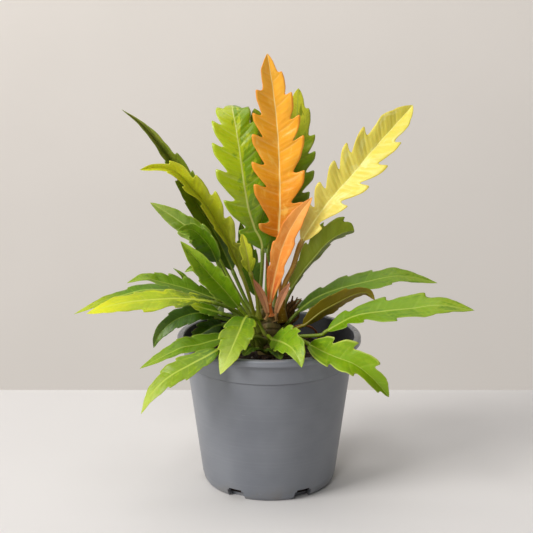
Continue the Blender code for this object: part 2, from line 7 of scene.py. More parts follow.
import logging
import math
from dataclasses import dataclass
from enum import Enum

import bmesh
import bpy
import numpy as np
from mathutils import Matrix, Vector


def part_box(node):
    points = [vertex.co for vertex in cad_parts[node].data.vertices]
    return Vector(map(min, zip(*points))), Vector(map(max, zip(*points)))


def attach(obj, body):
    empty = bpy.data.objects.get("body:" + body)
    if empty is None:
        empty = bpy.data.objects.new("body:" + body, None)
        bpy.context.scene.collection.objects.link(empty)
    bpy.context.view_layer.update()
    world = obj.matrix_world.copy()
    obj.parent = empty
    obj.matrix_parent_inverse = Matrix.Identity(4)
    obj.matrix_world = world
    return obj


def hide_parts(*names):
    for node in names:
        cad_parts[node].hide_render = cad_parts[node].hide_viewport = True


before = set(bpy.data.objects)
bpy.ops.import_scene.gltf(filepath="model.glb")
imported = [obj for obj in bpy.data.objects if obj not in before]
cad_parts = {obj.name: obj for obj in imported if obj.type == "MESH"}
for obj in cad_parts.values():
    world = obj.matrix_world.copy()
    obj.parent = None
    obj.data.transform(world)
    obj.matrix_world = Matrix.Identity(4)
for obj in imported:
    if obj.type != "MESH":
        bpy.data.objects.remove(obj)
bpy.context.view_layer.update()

MM = 0.001
BODY = "root"
VEIN_PHASE = 0.78
SOIL_MOUND_ROOM = 4 * MM
SOIL_TAPER = 22 * MM
Shade = tuple[int, int, int]
Spot = tuple[float, float, float]
Teeth = tuple[tuple[float, ...], tuple[float, ...]]
Socket = bpy.types.NodeSocket
log = logging.getLogger("philodendron")


def linear(shade: Shade) -> tuple[float, float, float, float]:
    """Turns a display colour into the shader's linear one.

    Args:
        shade: Red, green and blue from 0 to 255.

    Returns:
        Linear red, green, blue and an alpha of one.
    """
    parts = [value / 255 for value in shade]
    return (*(p / 12.92 if p < 0.04045 else ((p + 0.055) / 1.055) ** 2.4 for p in parts), 1.0)


def darker(shade: Shade, share: float) -> Shade:
    """Scales a display colour down by a share."""
    return tuple(int(value * share) for value in shade)


def unit(vectors: np.ndarray) -> np.ndarray:
    """Scales vectors along the last axis to length one."""
    return vectors / np.maximum(np.linalg.norm(vectors, axis=-1, keepdims=True), 1e-12)


def smoothstep(low: float, high: float, value: np.ndarray) -> np.ndarray:
    """Rises smoothly from 0 at low to 1 at high."""
    x = np.clip((value - low) / (high - low), 0.0, 1.0)
    return x * x * (3 - 2 * x)


def seed_of(name: str) -> int:
    """Gives a piece its own fixed seed, from its name."""
    return sum((i + 1) * ord(letter) for i, letter in enumerate(name))


# --- materials -------------------------------------------------------------------------------
class Recipe:
    """One node material and the short calls that add and join its nodes."""

    def __init__(self, name: str) -> None:
        """Starts a material with a bare Principled shader.

        Args:
            name: The material's name.
        """
        self.material = bpy.data.materials.new(name)
        self.material.use_nodes = True
        self.tree = self.material.node_tree
        self.shader = self.tree.nodes["Principled BSDF"]

    def feed(self, target: Socket, value: object) -> None:
        """Joins a socket to the target, or sets the target to a plain value."""
        if isinstance(value, bpy.types.NodeSocket):
            self.tree.links.new(value, target)
        else:
            target.default_value = value

    def attribute(self, name: str) -> Socket:
        """Reads a number that the mesh carries at each point."""
        node = self.tree.nodes.new("ShaderNodeAttribute")
        node.attribute_name = name
        return node.outputs["Fac"]

    def place(self) -> Socket:
        """Gives the point's place on the object, in metres."""
        return self.tree.nodes.new("ShaderNodeTexCoord").outputs["Object"]

    def height(self) -> Socket:
        """Gives the point's height above the floor, in metres."""
        node = self.tree.nodes.new("ShaderNodeSeparateXYZ")
        self.feed(node.inputs[0], self.place())
        return node.outputs["Z"]

    def math(self, operation: str, first: object, second: object = 0.0, third: object = 0.0) -> Socket:
        """Adds a Math node.

        Args:
            operation: The node's operation.
            first: A socket or a number.
            second: A socket or a number.
            third: A socket or a number, for an operation that takes three.

        Returns:
            The result's socket.
        """
        node = self.tree.nodes.new("ShaderNodeMath")
        node.operation = operation
        for target, value in zip(node.inputs, (first, second, third)):
            self.feed(target, value)
        return node.outputs[0]

    def vector(self, x: object, y: object, z: object) -> Socket:
        """Joins three numbers or sockets into one vector."""
        node = self.tree.nodes.new("ShaderNodeCombineXYZ")
        for target, value in zip(node.inputs, (x, y, z)):
            self.feed(target, value)
        return node.outputs[0]

    def stretch(self, vector: Socket, scale: Spot) -> Socket:
        """Scales a vector by a different amount along each axis."""
        node = self.tree.nodes.new("ShaderNodeMapping")
        self.feed(node.inputs["Vector"], vector)
        node.inputs["Scale"].default_value = scale
        return node.outputs[0]

    def noise(self, vector: Socket, scale: float, detail: float = 3.0, rough: float = 0.5) -> Socket:
        """Adds cloudy noise.

        Args:
            vector: Where the noise is read.
            scale: How many clouds fit in one unit.
            detail: How many finer layers it has.
            rough: How strong the finer layers are.

        Returns:
            A number near one half.
        """
        node = self.tree.nodes.new("ShaderNodeTexNoise")
        self.feed(node.inputs["Vector"], vector)
        node.inputs["Scale"].default_value = scale
        node.inputs["Detail"].default_value = detail
        node.inputs["Roughness"].default_value = rough
        return node.outputs["Fac"]

    def cells(self, vector: Socket, scale: float) -> Socket:
        """Adds a pattern of small cells and gives the distance from each cell's middle."""
        node = self.tree.nodes.new("ShaderNodeTexVoronoi")
        self.feed(node.inputs["Vector"], vector)
        node.inputs["Scale"].default_value = scale
        return node.outputs["Distance"]

    def ease(self, value: Socket, low: float, high: float, top: float = 1.0) -> Socket:
        """Maps low to 0 and high to top, smoothly and held at both ends."""
        node = self.tree.nodes.new("ShaderNodeMapRange")
        node.interpolation_type = "SMOOTHSTEP"
        self.feed(node.inputs["Value"], value)
        node.inputs["From Min"].default_value = low
        node.inputs["From Max"].default_value = high
        node.inputs["To Max"].default_value = top
        return node.outputs["Result"]

    def blend(self, share: object, first: object, second: object) -> Socket:
        """Mixes two colours.

        Args:
            share: How much of the second one, from 0 to 1.
            first: A socket, or red, green and blue from 0 to 255.
            second: The same.

        Returns:
            The mixed colour's socket.
        """
        node = self.tree.nodes.new("ShaderNodeMix")
        node.data_type = "RGBA"
        self.feed(node.inputs[0], share)
        for target, value in ((node.inputs[6], first), (node.inputs[7], second)):
            self.feed(target, linear(value) if isinstance(value, tuple) else value)
        return node.outputs[2]

    def ramp(self, value: Socket, stops: list[tuple[float, Shade]]) -> Socket:
        """Runs through a few colours as the value rises.

        Args:
            value: A number from 0 to 1.
            stops: Where each colour stands, and the colour.

        Returns:
            The colour's socket.
        """
        node = self.tree.nodes.new("ShaderNodeValToRGB")
        node.color_ramp.interpolation = "EASE"
        points = node.color_ramp.elements
        while len(points) < len(stops):
            points.new(0.5)
        for i, (where, shade) in enumerate(stops):
            points[i].position = where
            points[i].color = linear(shade)
        self.feed(node.inputs["Fac"], value)
        return node.outputs["Color"]

    def bump(self, height: Socket, depth: float, strength: float = 1.0) -> None:
        """Presses a fine relief into the surface.

        Args:
            height: The relief, from 0 to 1.
            depth: How deep it is, in metres.
            strength: How much of it is used.
        """
        node = self.tree.nodes.new("ShaderNodeBump")
        node.inputs["Strength"].default_value = strength
        node.inputs["Distance"].default_value = depth
        self.feed(node.inputs["Height"], height)
        self.feed(self.shader.inputs["Normal"], node.outputs["Normal"])

    def finish(self, colour: Socket, roughness: object, **sockets: float) -> bpy.types.Material:
        """Sets the shader.

        Args:
            colour: The base colour.
            roughness: A socket or a number.
            **sockets: Plain values for other shader sockets, with _ for a space in their names.

        Returns:
            The finished material.
        """
        self.feed(self.shader.inputs["Base Color"], colour)
        self.feed(self.shader.inputs["Roughness"], roughness)
        for name, value in sockets.items():
            self.shader.inputs[name.replace("_", " ")].default_value = value
        return self.material


class Grain(Enum):
    """Which way the veins of a blade run."""

    FEATHERED = "from the midrib to the tips of the lobes"
    LENGTHWISE = "from foot to tip"


@dataclass(frozen=True)
class LeafFinish:
    """Colours and sheen of one leaf, from its foot to its tip."""

    foot: Shade
    body: Shade
    tip: Shade
    patch: Shade
    rib: Shade
    stalk: Shade = (118, 142, 36)
    stalk_foot: Shade = (132, 138, 58)
    under: Shade = (122, 148, 56)
    margin: Shade = (186, 202, 80)
    patches: float = 0.5
    # lean pushes the second colour towards one half of the blade, the right one when positive; it is partly
    # the leaf's own colouring and partly painted shade and light on the two halves of its fold.
    lean: float = 0.0
    edging: float = 0.35
    veins: float = 0.16
    roughness: float = 0.4
    coat: float = 0.05
    grain: Grain = Grain.FEATHERED

    def vein_lines(self, recipe: Recipe) -> Socket:
        """Draws the strong side veins and the faint ones between them.

        Args:
            recipe: The material being made.

        Returns:
            A number from 0 to 1, highest on a strong vein.
        """
        run = recipe.attribute("lobe")
        if self.grain is Grain.LENGTHWISE:
            run = recipe.math("MULTIPLY", recipe.attribute("across"), 2.5)
        lines = []
        for count, width, strength in ((1.0, 0.06, 1.0), (5.0, 0.2, 0.32)):
            shifted = recipe.math("MULTIPLY_ADD", run, count, 0.5 - VEIN_PHASE * count)
            distance = recipe.math("ABSOLUTE", recipe.math("SUBTRACT", recipe.math("FRACT", shifted), 0.5))
            fade = recipe.ease(distance, 0.0, width, strength)
            lines.append(recipe.math("SUBTRACT", strength, fade))
        return recipe.math("MAXIMUM", lines[0], lines[1])

    def blade(self, name: str) -> bpy.types.Material:
        """Makes the blade's material.

        Args:
            name: The leaf's name, which also seeds its patches.

        Returns:
            A material with patches, veins, a pale midrib, an edging and a duller back.
        """
        recipe = Recipe(name + "_blade")
        across = recipe.attribute("across")
        side = recipe.math("ABSOLUTE", across)
        along = recipe.attribute("along")
        drift = recipe.math("MULTIPLY", across, 1.6)
        cells = recipe.vector(recipe.attribute("lobe"), drift, float(seed_of(name) % 97))
        cloud = recipe.noise(cells, 1.7, 4.0, 0.6)
        wander = recipe.math("MULTIPLY_ADD", cloud, 0.5, -0.25)
        colour = recipe.ramp(recipe.math("ADD", along, wander),
                             [(0.0, self.foot), (0.45, self.body), (0.95, self.tip)])
        # Partly painted shade and light: the second colour is pushed towards one half of the blade.
        sided_tint_and_shade = recipe.math("MULTIPLY_ADD", across, self.lean * 0.35, cloud)
        start = 0.66 - 0.3 * self.patches
        patch = recipe.ease(sided_tint_and_shade, start, start + 0.12, 0.75)
        colour = recipe.blend(patch, colour, self.patch)
        streaks = recipe.noise(recipe.stretch(cells, (9.0, 1.2, 1.0)), 1.0, 3.0, 0.6)
        colour = recipe.blend(recipe.ease(streaks, 0.45, 0.75, 0.28), colour, self.patch)
        veins = self.vein_lines(recipe)
        inward = recipe.math("SUBTRACT", self.veins, recipe.ease(side, 0.55, 0.98, self.veins))
        colour = recipe.blend(recipe.math("MULTIPLY", veins, inward), colour, self.rib)
        colour = recipe.blend(recipe.ease(side, 0.86, 1.0, self.edging), colour, self.margin)
        under = recipe.attribute("under")
        colour = recipe.blend(recipe.math("MULTIPLY", under, 0.78), colour, self.under)
        offset = recipe.math("ABSOLUTE", recipe.attribute("offset"))
        middle = recipe.math("DIVIDE", offset, recipe.math("MULTIPLY_ADD", along, -0.75, 1.25))
        rib = recipe.math("SUBTRACT", 0.9, recipe.ease(middle, 0.45 * MM, 1.35 * MM, 0.9))
        colour = recipe.blend(rib, colour, self.rib)
        pores = recipe.cells(recipe.place(), 1500.0)
        relief = recipe.math("MULTIPLY_ADD", pores, 0.3, recipe.noise(recipe.place(), 260.0, 2.0))
        relief = recipe.math("MULTIPLY_ADD", veins, -0.6, relief)
        recipe.bump(relief, 0.25 * MM, 0.5)
        sheen = recipe.noise(cells, 3.0, 3.0)
        gloss = recipe.math("MULTIPLY_ADD", sheen, 0.16, self.roughness - 0.08)
        rough = recipe.math("MULTIPLY_ADD", under, 0.12, gloss)
        return recipe.finish(colour, rough, Specular_IOR_Level=0.34, Coat_Weight=self.coat,
                             Coat_Roughness=0.25, Subsurface_Weight=0.08, Subsurface_Scale=1.2 * MM)

    def petiole(self, name: str) -> bpy.types.Material:
        """Makes the stalk's material.

        Args:
            name: The leaf's name.

        Returns:
            A fibrous material whose colour turns into the midrib's along the blade.
        """
        recipe = Recipe(name + "_stalk")
        run = recipe.math("MULTIPLY_ADD", recipe.attribute("along"), 0.5, 0.5)
        stops = [(0.0, self.stalk_foot), (0.2, self.stalk), (0.46, self.stalk), (0.6, self.rib)]
        colour = recipe.ramp(run, stops)
        fibres = recipe.noise(recipe.stretch(recipe.place(), (420.0, 420.0, 26.0)), 1.0, 3.0)
        colour = recipe.blend(recipe.ease(fibres, 0.5, 0.75, 0.4), colour, darker(self.stalk_foot, 0.7))
        flecks = recipe.noise(recipe.place(), 700.0, 2.0)
        colour = recipe.blend(recipe.ease(flecks, 0.62, 0.7, 0.35), colour, self.rib)
        recipe.bump(fibres, 0.2 * MM, 0.6)
        return recipe.finish(colour, recipe.math("MULTIPLY_ADD", fibres, 0.2, 0.3), Specular_IOR_Level=0.45,
                             Coat_Weight=0.1, Coat_Roughness=0.35)


ORANGE = LeafFinish((226, 130, 10), (248, 170, 30), (250, 182, 46), (252, 192, 78), (255, 222, 142),
                    stalk=(206, 132, 44), stalk_foot=(170, 136, 44), under=(226, 128, 30),
                    margin=(246, 144, 60), edging=0.5, patches=0.3, veins=0.2, roughness=0.34)
SALMON = LeafFinish((214, 100, 32), (244, 148, 50), (250, 168, 78), (252, 172, 84), (252, 190, 110),
                    stalk=(236, 124, 52), stalk_foot=(220, 134, 70), under=(214, 104, 34),
                    margin=(240, 128, 50), edging=0.4, veins=0.2)
LEMON = LeafFinish((212, 192, 86), (226, 211, 88), (220, 208, 82), (232, 224, 132), (240, 232, 138),
                   stalk=(160, 116, 20), stalk_foot=(134, 102, 16), under=(214, 196, 84),
                   margin=(222, 202, 60), edging=0.4, patches=0.4, veins=0.2, roughness=0.42)
# LIME_DARK's lean puts its darker second colour on the right half, partly as painted shade.
LIME_DARK = LeafFinish((104, 148, 2), (172, 194, 8), (180, 194, 20), (96, 142, 2), (206, 216, 120),
                       under=(148, 172, 16), patches=0.5, lean=0.7, veins=0.2, roughness=0.3, coat=0.3)
CURLED = LeafFinish((130, 142, 16), (176, 184, 26), (204, 206, 40), (196, 204, 44), (170, 168, 60),
                    stalk=(138, 142, 30), stalk_foot=(126, 134, 30), under=(172, 152, 60),
                    margin=(206, 210, 60), edging=0.4, patches=0.5)
FRESH = LeafFinish((108, 148, 4), (120, 156, 6), (156, 182, 46), (92, 134, 4), (168, 190, 74),
                   stalk=(122, 146, 20), under=(118, 142, 20), patches=0.5)
FRESH_TIPPED = LeafFinish((84, 124, 2), (124, 152, 6), (180, 196, 84), (140, 170, 16), (176, 194, 70),
                          stalk=(122, 146, 20), under=(118, 142, 20), patches=0.4,
                          margin=(186, 198, 70), edging=0.35)
GREEN_TO_LIME = LeafFinish((66, 92, 2), (112, 144, 4), (208, 214, 56), (90, 120, 4), (176, 192, 70),
                           under=(112, 138, 12), patches=0.4)
LEAF_GREEN = LeafFinish((80, 114, 2), (106, 144, 4), (142, 170, 30), (84, 122, 2), (156, 180, 62),
                        stalk=(112, 136, 20), under=(100, 130, 14))
MID_GREEN = LeafFinish((66, 98, 2), (88, 126, 4), (122, 152, 26), (66, 98, 2), (142, 166, 54),
                       stalk=(104, 128, 18), under=(90, 118, 14))
DEEP_GREEN = LeafFinish((46, 76, 2), (58, 92, 2), (104, 132, 34), (40, 68, 2), (118, 144, 44),
                        stalk=(88, 112, 16), stalk_foot=(100, 112, 30), under=(78, 104, 14),
                        margin=(104, 126, 28))
DARK_TO_OLIVE = LeafFinish((60, 90, 2), (104, 122, 8), (162, 168, 78), (76, 104, 4), (132, 150, 56),
                           stalk=(92, 114, 18), stalk_foot=(100, 112, 30), under=(84, 108, 14),
                           margin=(120, 138, 36))
# PALE_BLUE's lean puts its paler second colour on the left half, partly as painted sheen.
PALE_BLUE = LeafFinish((74, 114, 2), (106, 138, 20), (158, 182, 70), (132, 158, 66), (176, 192, 96),
                       stalk=(118, 142, 24), under=(104, 132, 20), lean=-0.8, patches=0.4, roughness=0.3,
                       coat=0.2)
YELLOW_TIPPED = LeafFinish((62, 94, 1), (164, 186, 2), (218, 218, 30), (196, 206, 14), (200, 212, 70),
                           under=(132, 158, 20), margin=(206, 208, 36), patches=0.45)
LIME_TIPPED = LeafFinish((78, 112, 2), (92, 132, 4), (184, 196, 34), (72, 104, 2), (156, 180, 60),
                         under=(96, 126, 12), patches=0.4)
PALE_EDGED = LeafFinish((104, 142, 6), (128, 164, 8), (122, 156, 10), (140, 172, 14), (178, 196, 78),
                        stalk=(122, 148, 24), under=(112, 140, 14), margin=(204, 212, 104), edging=0.6)
OLIVE = LeafFinish((118, 112, 8), (104, 92, 6), (90, 84, 14), (122, 94, 10), (142, 136, 36),
                   stalk=(134, 120, 24), under=(142, 124, 16), roughness=0.44)
OLIVE_GREEN = LeafFinish((104, 116, 8), (108, 122, 10), (102, 120, 10), (124, 138, 18), (136, 150, 40),
                         stalk=(120, 130, 28), under=(122, 138, 14), roughness=0.42)
SHEATH = LeafFinish((206, 152, 96), (186, 126, 86), (164, 100, 68), (204, 156, 112), (176, 112, 76),
                    stalk=(200, 150, 96), stalk_foot=(206, 164, 110), under=(182, 122, 84),
                    margin=(156, 92, 66), edging=0.7, veins=0.35, roughness=0.55, grain=Grain.LENGTHWISE)
SHEATH_STRIP = LeafFinish((156, 96, 40), (152, 84, 32), (138, 70, 28), (180, 116, 56), (120, 66, 26),
                          stalk=(150, 92, 36), stalk_foot=(150, 106, 40), under=(146, 82, 34),
                          margin=(120, 62, 28), edging=0.5, veins=0.35, roughness=0.55,
                          grain=Grain.LENGTHWISE)


# --- leaf geometry ---------------------------------------------------------------------------
class Facing(Enum):
    """Which way the upper face of a blade looks."""

    FRONT = (0.0, -0.97, 0.24)
    UP = (0.0, -0.25, 0.97)
    BACK = (0.0, 0.95, 0.31)
    UNDER = (0.0, 0.80, 0.60)


class Half(Enum):
    """The two halves of a blade, seen on its upper face."""

    LEFT = -1
    RIGHT = 1


class Spine:
    """A smooth line through a few points, measured along its length."""

    def __init__(self, knots: np.ndarray, steps: int = 48) -> None:
        """Draws the line.

        Args:
            knots: The points that it passes through.
            steps: How many short runs join one knot to the next.
        """
        ends = np.vstack([2 * knots[0] - knots[1], knots, 2 * knots[-1] - knots[-2]])
        f = np.linspace(0.0, 1.0, steps, endpoint=False)[:, None]
        runs = []
        for a, b, c, d in zip(ends, ends[1:], ends[2:], ends[3:]):
            bend = (2 * a - 5 * b + 4 * c - d) * f**2 + (3 * b - a - 3 * c + d) * f**3
            runs.append(0.5 * (2 * b + (c - a) * f + bend))
        self.points = np.vstack([*runs, knots[-1:]])
        gaps = np.linalg.norm(np.diff(self.points, axis=0), axis=1)
        self.reach = np.concatenate([[0.0], np.cumsum(gaps)])
        self.length = float(self.reach[-1])
        self.knots = self.reach[::steps]

    def at(self, s: np.ndarray) -> np.ndarray:
        """Gives the points at distances s along the line."""
        return np.stack([np.interp(s, self.reach, self.points[:, k]) for k in range(3)], axis=-1)

    def axes(self, s: np.ndarray, facing: Facing) -> tuple[np.ndarray, np.ndarray, np.ndarray]:
        """Gives the directions in which a leaf lies on the line.

        Args:
            s: Distances along the line.
            facing: The way its upper face looks.

        Returns:
            Unit vectors along the line, out of the upper face, and towards the right half.
        """
        step = 4 * MM
        along = unit(self.at(s + step) - self.at(s - step))
        towards = np.array(facing.value)
        face = unit(towards - along * (along @ towards)[..., None])
        return along, face, np.cross(along, face)


def joined_rings(count: int, corners: int) -> list[tuple[int, ...]]:
    """Joins rings of points into a tube and closes its ends.

    Args:
        count: How many rings there are.
        corners: How many points one ring has.

    Returns:
        The faces. The two points after the rings are the middles of the first and last end.
    """
    faces = []
    for i in range(count - 1):
        for j in range(corners):
            a, b = i * corners + j, i * corners + (j + 1) % corners
            faces.append((a, b, b + corners, a + corners))
    first, last = count * corners, count * corners + 1
    for j in range(corners):
        k = (j + 1) % corners
        faces.append((first, k, j))
        faces.append((last, (count - 1) * corners + j, (count - 1) * corners + k))
    return faces


@dataclass
class Shell:
    """Points, faces and point attributes of one closed skin."""

    points: np.ndarray
    faces: list[tuple[int, ...]]
    numbers: dict[str, np.ndarray]
    slot: int = 0

    @classmethod
    def tube(cls, centres: np.ndarray, side: np.ndarray, face: np.ndarray, wide: np.ndarray,
             thick: np.ndarray, along: np.ndarray, corners: int = 12, slot: int = 1) -> "Shell":
        """Sweeps an oval along a line and closes both ends.

        Args:
            centres: The line's points.
            side: Unit vectors along the oval's width.
            face: Unit vectors along its thickness.
            wide: Half-widths.
            thick: Half-thicknesses.
            along: The attribute of the same name at each point of the line.
            corners: How many corners the oval has.
            slot: The material slot.

        Returns:
            The closed tube.
        """
        turn = np.arange(corners) * 2 * np.pi / corners
        across = side[:, None] * (wide[:, None] * np.cos(turn))[..., None]
        up = face[:, None] * (thick[:, None] * np.sin(turn))[..., None]
        rings = centres[:, None] + across + up
        points = np.vstack([rings.reshape(-1, 3), centres[:1], centres[-1:]])
        shades = np.concatenate([np.repeat(along, corners), along[:1], along[-1:]])
        return cls(points, joined_rings(len(centres), corners), {"along": shades}, slot)


def piece_from(name: str, shells: list[Shell],
               materials: list[bpy.types.Material]) -> bpy.types.Object:
    """Joins closed skins into one smooth object.

    Args:
        name: The object's name.
        shells: The skins, each with its material slot.
        materials: The materials, in slot order.

    Returns:
        The object, linked to the scene.
    """
    faces, slots, start = [], [], 0
    for shell in shells:
        faces += [tuple(index + start for index in face) for face in shell.faces]
        slots += [shell.slot] * len(shell.faces)
        start += len(shell.points)
    mesh = bpy.data.meshes.new(name)
    mesh.from_pydata(np.vstack([shell.points for shell in shells]).tolist(), [], faces)
    for material in materials:
        mesh.materials.append(material)
    mesh.polygons.foreach_set("material_index", slots)
    mesh.polygons.foreach_set("use_smooth", [True] * len(faces))
    for key in sorted({key for shell in shells for key in shell.numbers}):
        values = [shell.numbers.get(key, np.zeros(len(shell.points))) for shell in shells]
        layer = mesh.attributes.new(key, "FLOAT", "POINT")
        layer.data.foreach_set("value", np.concatenate(values).astype(np.float32))
    mesh.update()
    net = bmesh.new()
    net.from_mesh(mesh)
    bmesh.ops.recalc_face_normals(net, faces=net.faces)
    net.to_mesh(mesh)
    net.free()
    obj = bpy.data.objects.new(name, mesh)
    bpy.context.scene.collection.objects.link(obj)
    return obj


@dataclass(frozen=True)
class Stand:
    """Where the plant stands: the rim's height and radius, and the stem's radius."""

    rim_height: float
    rim_radius: float
    stem_radius: float
    drawn_radius: float = 95 * MM
    near: float = 20 * MM
    far: float = 60 * MM

    def place(self, spot: Spot) -> np.ndarray:
        """Turns a point in millimetres, with its height above the rim, into metres.

        Args:
            spot: The point, drawn for a pot of the usual radius.

        Returns:
            The point on this pot.
        """
        x, y, height = (value * MM for value in spot)
        share = self.rim_radius / self.drawn_radius
        spread = np.interp(math.hypot(x, y), (self.near, self.far), (1.0, share))
        return np.array([x * spread, y * spread, height + self.rim_height])


def spaced(count: int, last: float) -> Teeth:
    """Spreads the points of the lobes evenly along both margins, as far as last."""
    points = tuple(last * ((i + VEIN_PHASE) / count) ** 0.92 for i in range(count))
    return points, points


@dataclass(frozen=True)
class Margin:
    """One margin of a blade: where its lobes' points stand, and how deep the cuts between them are.

    points are shares of the midrib's length, and notch the depths at the foot and at the tip.
    """

    points: tuple[float, ...]
    notch: tuple[float, float]

    def cuts(self) -> np.ndarray:
        """Gives the places of the cuts, the first at the foot of the blade."""
        points = np.array(self.points)
        before = points[-2] if len(points) > 1 else 0.0
        ahead = np.append(points[1:], 2 * points[-1] - before)
        return np.append(0.0, points + (1 - VEIN_PHASE) * (ahead - points))

    def lobe(self, t: np.ndarray) -> np.ndarray:
        """Counts the lobes below each row.

        Args:
            t: Shares of the blade's length.

        Returns:
            Whole numbers at the cuts, and the vein phase past them at the points.
        """
        cuts = self.cuts()
        count = len(self.points)
        spots = np.ones(2 * count + 2)
        spots[0:-1:2] = cuts
        spots[1:-1:2] = self.points
        lobes = np.empty(2 * count + 2)
        lobes[0:-1:2] = np.arange(count + 1)
        lobes[1:-1:2] = np.arange(count) + VEIN_PHASE
        lobes[-1] = count + (1 - cuts[-1]) / (cuts[-1] - cuts[-2])
        return np.interp(t, spots, lobes)

    def reach(self, t: np.ndarray, rng: np.random.Generator) -> tuple[np.ndarray, np.ndarray]:
        """Cuts the lobes into the margin.

        Args:
            t: Shares of the blade's length.
            rng: The leaf's own random numbers.

        Returns:
            The share of the envelope that the margin reaches, and how near each row is to the
            point of a lobe.
        """
        cuts = self.cuts()
        count = len(self.points)
        q = self.lobe(t)
        depth = np.interp(cuts, (0.0, 1.0), self.notch)
        depth[0] *= 0.6
        index = np.clip(q.astype(int), 0, count)
        phase = q - index
        low, high = depth[index], depth[np.minimum(index + 1, count)]
        rise = 1 - low * (1 - np.sin(np.clip(phase / VEIN_PHASE, 0, 1) * np.pi / 2) ** 1.05)
        x = np.clip((phase - VEIN_PHASE) / (1 - VEIN_PHASE), 0, 1)
        fall = 1 - high * (1 - (1 - x) ** 1.7)
        reach = np.where(phase < VEIN_PHASE, rise, fall)
        past = (t - cuts[-1]) / min(0.14, 1 - cuts[-1])
        reach = np.where(t >= cuts[-1], 1 - low * (1 - smoothstep(0.0, 1.0, past)), reach)
        point = np.where(t >= cuts[-1], 0.0, np.exp(-(((phase - VEIN_PHASE) / 0.11) ** 2)))
        turn = rng.uniform(0, 2 * np.pi, 2)
        reach *= 1 + 0.02 * np.sin(47 * t + turn[0]) + 0.012 * np.sin(101 * t + turn[1])
        kernel = np.array([0.25, 0.5, 0.25])
        return np.convolve(np.pad(reach, 1, mode="edge"), kernel, mode="valid"), point


